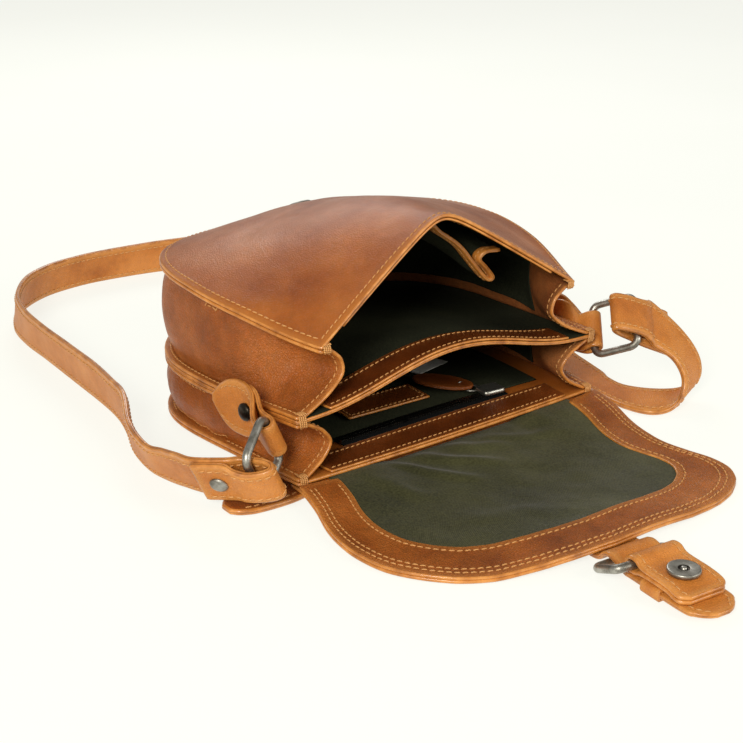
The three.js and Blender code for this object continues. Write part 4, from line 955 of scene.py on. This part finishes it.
def closure():
    """Closing strap with its buckle frame, keeper, folded tab and magnet, from the flap's edge on."""
    under_bar = 25.5
    tab_bar = under_bar + BAR_GAP
    low = KEEPER_WALL + GAP
    top = low + CLOSURE_WALL
    bar_height = top + 2 * GAP + TAB_WALL + BUCKLE_WIRE
    keeper_at = tab_bar + 13
    middle = CLOSURE_WALL / 2 + 0.1
    mats = (STRAP, STRAP, EDGE)
    strap = ribbon((
        (0, middle, 1), (17, middle + GAP, 1), (under_bar - 3, middle + 2 * BUCKLE_WIRE, 1),
        (under_bar + 2, middle + 2 * BUCKLE_WIRE + 2 * GAP, 1), (tab_bar - 4, middle + low + GAP / 2, 1),
        (tab_bar + 2, middle + low, 1), (CLOSURE_LENGTH - 11, middle + low, 1),
        (CLOSURE_LENGTH - 5, middle + low, 0.82), (CLOSURE_LENGTH - 1.5, middle + low, 0.52),
        (CLOSURE_LENGTH, middle + low, 0.25)), CLOSURE_WIDTH)
    wall("flap_strap_leather", strap, 90, 12, CLOSURE_WALL, 0, mats, "flap_strap", rim="double")
    over_keeper = top + 2 * GAP + KEEPER_WALL + TAB_WALL / 2
    loop = BUCKLE_WIRE + GAP + TAB_WALL / 2
    layer = TAB_WALL + GAP
    end = tab_bar + TAB_LENGTH - 6
    end_height = top + GAP + TAB_WALL / 2
    tab = ribbon((
        (end, end_height, 0.72), (end - 3.5, end_height + 0.25, 1), (keeper_at + 8, over_keeper, 1),
        (keeper_at - 6, over_keeper, 1), (tab_bar + 2, bar_height - loop + 0.4, 1),
        (tab_bar - 2.2, bar_height - loop * 0.8, 1), (tab_bar - loop - 0.2, bar_height, 1),
        (tab_bar - 2.2, bar_height + loop * 0.8, 1), (tab_bar + 2, bar_height + loop - 0.2, 1),
        (keeper_at - 6, over_keeper + layer + 0.5, 1), (keeper_at + 8, over_keeper + layer, 1),
        (end - 3.5, end_height + layer + 0.25, 1), (end, end_height + layer, 0.72)), TAB_WIDTH)
    wall("magnet_tab_leather", tab, 150, 12, TAB_WALL + 0.1, 0, mats, "magnet_tab")
    for v in (0.1, 0.9):
        stitch_row("stitches_flap", tab, line_u(v, 0.62, 0.97), TAB_WALL / 2 + 0.1, *FLAP_STITCH)
        near = line_u(v * 0.98 + 0.01, 0.56, 0.9)
        stitch_row("stitches_flap", strap, near, CLOSURE_WALL / 2 + 0.05, *FLAP_STITCH)
    rise = bar_height - BUCKLE_WIRE
    points = frame_points(2 * BUCKLE_HALF, np.hypot(rise, BAR_GAP), 3.5)
    tilt = np.arctan2(rise, BAR_GAP)
    ring = stack(BUCKLE_SHIFT + points[:, 0], -(under_bar + tab_bar) / 2 - points[:, 1] * np.cos(tilt),
                 (BUCKLE_WIRE + bar_height) / 2 + points[:, 1] * np.sin(tilt))
    swept("flap_buckle_wire", closure_row(ring), BUCKLE_WIRE, 18, "flap_buckle")
    keeper(keeper_at, top, mats)
    spot = closure_row(arr(0, -(keeper_at + 5), over_keeper + layer + TAB_WALL / 2 + 3 * GAP))
    r, h = SNAP_RADIUS, SNAP_WALL
    profile = ((r - 0.3, -0.6), (r, 0.2), (r, h * 0.6), (r - 0.15, h * 0.85), (r - 0.5, h), (r - 0.9, h),
               (r * 0.4, h * 0.96), (r * 0.36, h * 0.9), (r * 0.3, h * 0.5), (r * 0.2, h * 0.45),
               (r * 0.18, h * 0.6), (r * 0.17, h * 1.1), (r * 0.12, h * 1.25), (0.05, h * 1.3))
    turned("snap_magnet_disc", profile, 48, spot, np.eye(3), (NICKEL, DARKMETAL), "snap_magnet",
           (0, 0, 0, 0, 0, 0, 0, 1, 1, 1, 0, 0, 0))


def keeper(at, top, mats):
    """Leather loop round the closing strap and its tab, open at the middle of its upper side."""
    half = CLOSURE_WIDTH / 2 + GAP + KEEPER_WALL / 2
    base, high = KEEPER_WALL / 2, top + GAP + KEEPER_WALL / 2
    corners = np.array(((0.3, high), (half, high), (half, base), (-half, base), (-half, high), (-0.3, high)))
    path = [corners[:1]]
    for a, b in zip(corners[:-1], corners[1:]):
        path.append(a + (b - a) * np.linspace(0, 1, 9)[1:, None])
    path = np.concatenate(path)
    steps = np.arange(len(path))

    def surface(u, v):
        u, v = pair(u, v)
        place = u * steps[-1]
        y = -at + mix(KEEPER_WIDTH / 2, -KEEPER_WIDTH / 2, v)
        x, z = (np.interp(place, steps, path[:, k]) for k in (0, 1))
        return closure_row(stack(x, y, z))
    wall("closure_keeper_leather", surface, 40, 6, KEEPER_WALL, 0, mats, "closure_keeper")


# Rings, tabs and straps
# Each ring: side, its tab's bar, and the directions up, across the ring and along the strap.
RINGS = {
    "left": (-1, (-108, 8, 33), (-0.457, -0.203, 0.867), (-0.715, -0.504, -0.488), (-0.58, 0.806, -0.118)),
    "right": (1, (107, 8, 38), (0.423, 0.567, 0.707), (0.433, -0.81, 0.393), (0.825, -0.213, -0.52)),
}
# Rows of a ring tab and of a strap's fold: how far along, which layer, share of the width.
TAB_FOLD = (
    (1, 1, 0.12), (0.86, 1, 0.62), (0.7, 1, 0.93), (0.5, 1, 1), (0.3, 1, 0.9), (0.14, 2.2, 0.78),
    (0.0, 2.9, 0.74), (-0.055, 1.9, 0.74), (-0.075, 0, 0.74), (-0.055, -1.9, 0.74),
    (0.0, -2.9, 0.74), (0.14, -2.2, 0.78), (0.3, -1, 0.9), (0.5, -1, 0.85), (0.68, -1, 0.6),
)
STRAP_FOLD = (
    (27, -1, 1), (12, -1.02, 1), (6, -2.2, 0.88), (0, -2.7, 0.78), (-7, -2.1, 0.78),
    (-11, -0.9, 0.78), (-11, 0.9, 0.78), (-7, 2.1, 0.78), (0, 2.7, 0.78), (6, 2.2, 0.88),
    (12, 1.02, 1),
)
# How far the fold reaches through the ring, as a share, and the rows that lead on to the run.
LOOP_SHAPE = {"left": (1.0, ((28.0, 1, 1),)), "right": (1.5, ())}
STRAP_BUCKLE, STRAP_BUCKLE_AT, STRAP_BUCKLE_WIRE = (34, 22), (133, 134, 1.7), 1.6


def ring_place(side):
    """The bar that a ring hangs on, its directions and its far bar, which holds the strap."""
    sign, bar, up, over, away = RINGS[side]
    bar, up = arr(*bar), unit(arr(*up))
    over, away, back = (unit(way - up * np.dot(way, up)) for way in (arr(*over), arr(*away), arr(0, 1, 0)))
    return dict(sign=sign, bar=bar, up=up, over=over, away=away, back=back, strap_bar=bar + over * RING_SIDE)


ENDS = {side: ring_place(side) for side in RINGS}


def tab_middle(end, far):
    """Middle line of a ring tab, from the ring's bar to where the tab lies on the bag."""
    y = max(0, end["bar"][1] + far * RING_TAB_LENGTH)
    share = y / BELLY_DEPTH * SIDE_SHARE
    half, depth = outline("middle", share)
    rest = 1.5 * RING_TAB_WALL + 2 * GAP
    z = 40.0 * read(AT, SEAMS["middle"][2], share)
    on_bag = arr(end["sign"] * (half + rest), y, z)
    return mix(end["bar"] + end["back"] * far * RING_TAB_LENGTH, on_bag, smooth(0.06, 0.42, far))


def both_rows(group, surface, inset, start, end, thick, size):
    """Stitches along both edges of a strip, on both of its faces."""
    for v in (inset, 1 - inset):
        for height in (thick / 2 + 0.05, -thick / 2 - 0.05):
            stitch_row(group, surface, line_u(v, start, end), height, *size)


def ring_tabs():
    for side, end in ENDS.items():
        edges, ways = [], []
        for far, off, wide in TAB_FOLD:
            up = unit(mix(end["up"], arr(0, 0, 1), smooth(0.1, 0.45, far)))
            out = unit(np.cross(up, end["back"]) * -end["sign"])
            width = RING_TAB_WIDTH * wide
            edges.append(tab_middle(end, far) + out * off * (RING_TAB_WALL + GAP) / 2 - up * width / 2)
            ways.append(up * width)
        surface = band(edges, ways)
        wall(side + "_ring_tab_leather", surface, 140, 14, RING_TAB_WALL, 0, (STRAP, STRAP, EDGE),
             side + "_ring_tab", rim="double")
        both_rows("stitches_strap", surface, 0.1, 0.07, 0.3, RING_TAB_WALL, TAB_STITCH)
        up = unit(mix(end["up"], arr(0, 0, 1), smooth(0.1, 0.45, RIVET_AT)))
        back = unit(tab_middle(end, RIVET_AT + 0.05) - tab_middle(end, RIVET_AT - 0.05))
        out = unit(np.cross(up, back) * -end["sign"])
        spot = tab_middle(end, RIVET_AT) + out * (1.1 * RING_TAB_WALL + 4.4 * GAP)
        rivet(side + "_tab_rivet", spot, out, back, DARKMETAL)


def rivet(node, spot, out, along, mat):
    """Domed rivet head."""
    axes = (along, np.cross(out, along), out)
    r, h = RIVET_RADIUS, RIVET_HEIGHT
    rows = [(r * 0.96, -0.9)] + [(r * np.cos(a), h * np.sin(a)) for a in np.linspace(0, 1.45, 9)]
    turned(node + "_dome", rows, 32, spot, axes, (mat,), node)


def rings():
    for side, end in ENDS.items():
        points = frame_points(RING_SIDE, RING_BAR, RING_CORNER)
        middle = (end["bar"] + end["strap_bar"]) / 2
        ring = middle + points[:, :1] * end["over"] + points[:, 1:] * end["up"]
        swept(side + "_ring_wire", ring, RING_WIRE, 20, side + "_ring")


def straps():
    """Both ends of the strap, its free end and its buckle."""
    left = [(*row, np.sqrt(STRAP_WIDTH ** 2 - row[3] ** 2 - row[4] ** 2)) for row in LEFT_RUN]
    for side, run, steps in (("left", left, 700), ("right", RIGHT_RUN, 320)):
        end = ENDS[side]
        out = unit(np.cross(end["away"], end["up"]))
        nose, straight = LOOP_SHAPE[side]
        edges, ways = [], []
        for far, off, wide in (*STRAP_FOLD, *straight):
            far = far * nose if far < 0 else far
            spot = end["strap_bar"] + end["away"] * far + out * off * (STRAP_WALL + GAP) / 2
            edges.append(spot - end["up"] * STRAP_WIDTH * wide / 2)
            ways.append(end["up"] * STRAP_WIDTH * wide)
        surface = band(edges + [row[:3] for row in run], ways + [row[3:] for row in run])
        wall(side + "_strap_leather", surface, steps, 12, STRAP_WALL, 0, (STRAP, STRAP, EDGE),
             side + "_strap", rim="double", push=lambda p, u, v: 0.12 * noise(p, 18, 41))
        both_rows("stitches_" + side + "_strap", surface, 0.11, 0.004, 0.996, STRAP_WALL, STRAP_STITCH)
        spot = end["strap_bar"] + end["away"] * 17 - out * (STRAP_WALL + GAP)
        rivet(side + "_strap_rivet", spot, -out, end["away"], NICKEL)
    tail = band([row[:3] for row in TAIL_RUN], [row[3:] for row in TAIL_RUN])
    wall("strap_end_leather", tail, 260, 12, STRAP_WALL, 0, (TIP, TIP, EDGE), "strap_end", rim="double")
    both_rows("stitches_strap", tail, 0.11, 0.01, 0.93, STRAP_WALL, STRAP_STITCH)
    points = frame_points(*STRAP_BUCKLE, RING_CORNER)
    ring = stack(STRAP_BUCKLE_AT[0] + points[:, 0], STRAP_BUCKLE_AT[1] + points[:, 1], STRAP_BUCKLE_AT[2])
    swept("strap_buckle_wire", ring, STRAP_BUCKLE_WIRE, 18, "strap_buckle")


# Zip, patch, label and snaps
ZIP_HALF, ZIP_WIDTH, ZIP_TEETH, ZIP_RING, ZIP_RING_WIRE, CHAIN_LINKS = 53, 10.5, 88, 4, 0.7, 4
PULLER_AT, PULLER_LENGTH, PULLER_WIDTH, PULLER_TURN = (32, 49), 34, 16, 2.1
PATCH_AT, PATCH_SIZE, LABEL_AT, LABEL_SIZE = (-10, 52), (52, 20), (44, 80), (26, 14)
SNAP_X, SNAP_DEPTH = 6, 150


def slab(name, width, depth, height, spot, turn, mats, node, dent=None):
    """Flat piece of a given size, turned about Z."""
    cos, sin = np.cos(turn), np.sin(turn)

    def surface(u, v):
        u, v = pair(u, v)
        x, y = (u - 0.5) * width, (v - 0.5) * depth
        return stack(spot[0] + x * cos - y * sin, spot[1] + x * sin + y * cos, spot[2] + 0 * x)
    return wall(name, surface, 40, 16, height, 0, mats, node, push=dent), surface


def on_lining(x_share, depth, half_height):
    """Height of a flat piece that lies on the back lining."""
    ground = back_surface(np.array(x_share), np.array(depth / BAG_DEPTH))[2]
    return ground + LEATHER / 2 + 2 * GAP + LINING + half_height + 2 * GAP


def zip_band():
    """The zip's tape and teeth; returns the height that its metal parts lie at."""
    on_back = LEATHER / 2 + GAP + 0.8
    side = 0.5 - ZIP_HALF / (2 * MOUTH_HALF)
    start = (FACING_DEPTH + GAP) / BAG_DEPTH
    tape = part_of(back_surface, side, 1 - side, start, start + ZIP_WIDTH / BAG_DEPTH)
    wall("zip_tape", tape, 80, 6, 0.9, on_back - 0.2, (BLACK, BLACK, BLACK), "zip")
    box = ((0, 1, 3, 2), (4, 6, 7, 5), (0, 4, 5, 1), (2, 3, 7, 6), (1, 5, 7, 3), (0, 2, 6, 4))
    verts, faces = [], []
    for k in range(ZIP_TEETH):
        for row in (0, 1):
            u = (k + 0.5 * row + 0.25) / ZIP_TEETH
            p = tape(np.array(u), np.array(0.5 + (row - 0.5) * 0.16)) + arr(0, 0, on_back + 0.45)
            faces += [tuple(len(verts) + i for i in face) for face in box]
            verts += [p + arr(x, y + (row - 0.5) * 0.4, z) for x in (-0.38, 0.38) for y in (-1.5, 1.5)
                      for z in (-0.3, 1.3)]
    o = mesh_object("zip_teeth", verts, faces, (TEETH,))
    o.data.polygons.foreach_set("use_smooth", np.zeros(len(o.data.polygons), bool))
    return back_surface(np.array(0.5), np.array(start))[2] + on_back + 0.8 + 2 * GAP


def zip_pull(level):
    """Slider, ring, chain and leather puller, lying at a level."""
    slider = arr(ZIP_HALF - 5.5, FACING_DEPTH + GAP + 4, level + 2)
    mats = (NICKEL, NICKEL, NICKEL)
    slab("zip_slider_body", 11, 8, 3.2, slider - arr(0, 0, 0.2), -0.1, mats, "zip_slider")
    a = np.arange(32) / 32 * 2 * np.pi
    ring_y = slider[1] + 4 + ZIP_RING + ZIP_RING_WIRE + 2 * GAP
    ring = stack(slider[0] - 5.5 + ZIP_RING * np.cos(a), ring_y + ZIP_RING * np.sin(a),
                 level + ZIP_RING_WIRE + 0 * a)
    swept("zip_ring_wire", ring, ZIP_RING_WIRE, 12, "zip_ring")
    first, last = arr(slider[0] - 4, ring_y + 4, level + 1.6), arr(37, 41, level + 2.6)
    for k in range(CHAIN_LINKS):
        flat = k % 2
        link = stack(2.0 * np.cos(a), 1.2 * np.sin(a) * (1 - flat), 1.2 * np.sin(a) * flat)
        swept("zip_chain_link_%d" % k, mix(first, last, (k + 0.5) / CHAIN_LINKS) + link, 0.45, 8)
    cos, sin = np.cos(PULLER_TURN), np.sin(PULLER_TURN)

    def oval(u, v):
        u, v = pair(u, v)
        x = (u - 0.5) * PULLER_LENGTH
        half = PULLER_WIDTH / 2 * np.sqrt(np.maximum(0.002, 1 - (2 * u - 1) ** 2 * 0.985))
        y = (v - 0.5) * 2 * half
        z = level + 2.4 + GAP + 0 * x
        return stack(PULLER_AT[0] + x * cos - y * sin, PULLER_AT[1] + x * sin + y * cos, z)
    wall("zip_puller_leather", oval, 60, 12, 2.0, 0, (DARK, DARK, DARK), "zip_puller", rim="double")


def patch_and_label():
    """Plain leather patch and plain label on the back lining."""
    height = 1.3
    spot = (*PATCH_AT, on_lining(0.45, PATCH_AT[1], height / 2))
    _, patch = slab("patch_leather", *PATCH_SIZE, height, spot, -0.04, (DARK, FLESH, EDGE), "patch")
    for line in (line_u(0.09, 0.04, 0.96), line_u(0.91, 0.04, 0.96), line_v(0.035, 0.1, 0.9),
                 line_v(0.965, 0.1, 0.9)):
        stitch_row("stitches_body", patch, line, 0.7, *SMALL_STITCH)
    height = 0.5
    spot = (*LABEL_AT, on_lining(0.55, LABEL_AT[1], height / 2))
    mats = (WHITE, WHITE, WHITE)
    piece, flat = slab("care_label_cloth", *LABEL_SIZE, height, spot, 0.2, mats, "care_label",
                       dent=lambda p, u, v: 0.5 * np.sin(5 * u) * v)
    sheet(flat)


def front_snap():
    """The magnetic snap's counterpart on the front panel."""
    u, v = 0.5 + SNAP_X / (2 * BELLY_HALF), SNAP_DEPTH / BAG_DEPTH
    step = 0.01

    def at(du, dv):
        return front_surface(np.array(u + du), np.array(v + dv))
    along = unit(at(step, 0) - at(-step, 0))
    down = unit(at(0, step) - at(0, -step))
    out = unit(np.cross(along, down))
    spot = at(0, 0) + out * (LEATHER / 2 + GAP + 0.35)
    profile = ((7.3, -0.7), (7.5, 0.2), (7.4, 1.2), (6.6, 1.9), (5.6, 2.0), (3.4, 1.7), (3.1, 2.5),
               (2.4, 2.6), (0.05, 2.6))
    turned("front_snap_disc", profile, 40, spot, (along, np.cross(out, along), out), (NICKEL, DARKMETAL),
           "front_snap", (0, 0, 0, 0, 1, 0, 0, 0))


# Camera, light and floor
CAMERA_AZIMUTH, CAMERA_ELEVATION, CAMERA_DISTANCE = -37.07, 22.06, 738.6
CAMERA_TARGET = (-18.05, 48.37, 30.99)


def camera():
    """The photograph's viewing angle."""
    cam = bpy.data.cameras.new("camera")
    cam.lens = 67.22
    cam.sensor_width, cam.sensor_height, cam.sensor_fit = 36, 36, "HORIZONTAL"
    cam.clip_start, cam.clip_end = 0.01, 20
    azimuth, elevation = np.radians(CAMERA_AZIMUTH), np.radians(CAMERA_ELEVATION)
    back = arr(np.sin(azimuth) * np.cos(elevation), -np.cos(azimuth) * np.cos(elevation), np.sin(elevation))
    right = arr(np.cos(azimuth), np.sin(azimuth), 0)
    spot = (arr(*CAMERA_TARGET) + back * CAMERA_DISTANCE) * MM
    turn = Matrix(np.stack([right, np.cross(back, right), back], 1).tolist()).to_4x4()
    o = bpy.data.objects.new("camera", cam)
    o.matrix_world = Matrix.Translation(spot.tolist()) @ turn
    scene.collection.objects.link(o)
    scene.camera = o


def lamp(name, spot, target, size, power, tint=(1, 1, 1)):
    data = bpy.data.lights.new(name, "AREA")
    data.shape, data.size, data.energy, data.color = "DISK", size, power, tint
    o = bpy.data.objects.new(name, data)
    o.location = spot
    o.rotation_euler = (Vector(target) - Vector(spot)).to_track_quat("-Z", "Y").to_euler()
    scene.collection.objects.link(o)


def studio():
    """Bright floor, plain sky and three soft lamps."""
    me = bpy.data.meshes.new("floor")
    half = 6.0
    corners = [(-half, -half, 0), (half, -half, 0), (half, half, 0), (-half, half, 0)]
    me.from_pydata(corners, [], [(0, 1, 2, 3)])
    n = Nodes("floor")
    tone = n.ramp(n.spots(3, 2), [(0.3, (0.2, 0.205, 0.187)), (0.7, (0.216, 0.218, 0.203))])
    n.surface({"Base Color": tone, "Emission Color": (0.98, 0.985, 0.92), "Emission Strength": 0.82,
               "Roughness": 0.9, "Specular IOR Level": 0.1})
    me.materials.append(n.m)
    floor = bpy.data.objects.new("floor", me)
    floor.location = (0, 0, -0.0005)
    scene.collection.objects.link(floor)
    world = bpy.data.worlds.new("studio")
    world.use_nodes = True
    sky = world.node_tree.nodes["Background"]
    sky.inputs["Color"].default_value = (1.0, 0.99, 0.93, 1)
    sky.inputs["Strength"].default_value = 0.34
    scene.world = world
    lamp("key", (-1.15, -0.8, 0.85), (0, 0.02, 0.03), 0.6, 20, (1.0, 0.97, 0.9))
    lamp("fill", (0.6, -1.3, 0.7), (0, 0, 0.03), 0.8, 8.5, (1.0, 0.98, 0.92))
    lamp("rim", (0.5, 1.1, 0.9), (0, 0.1, 0.05), 0.7, 6)
    scene.view_settings.view_transform = "Standard"
    scene.view_settings.look = "None"


camera()
studio()
body()
linings()
front_pocket()
zip_pull(zip_band())
patch_and_label()
front_snap()
flap()
closure()
rings()
ring_tabs()
straps()
finish_stitches()
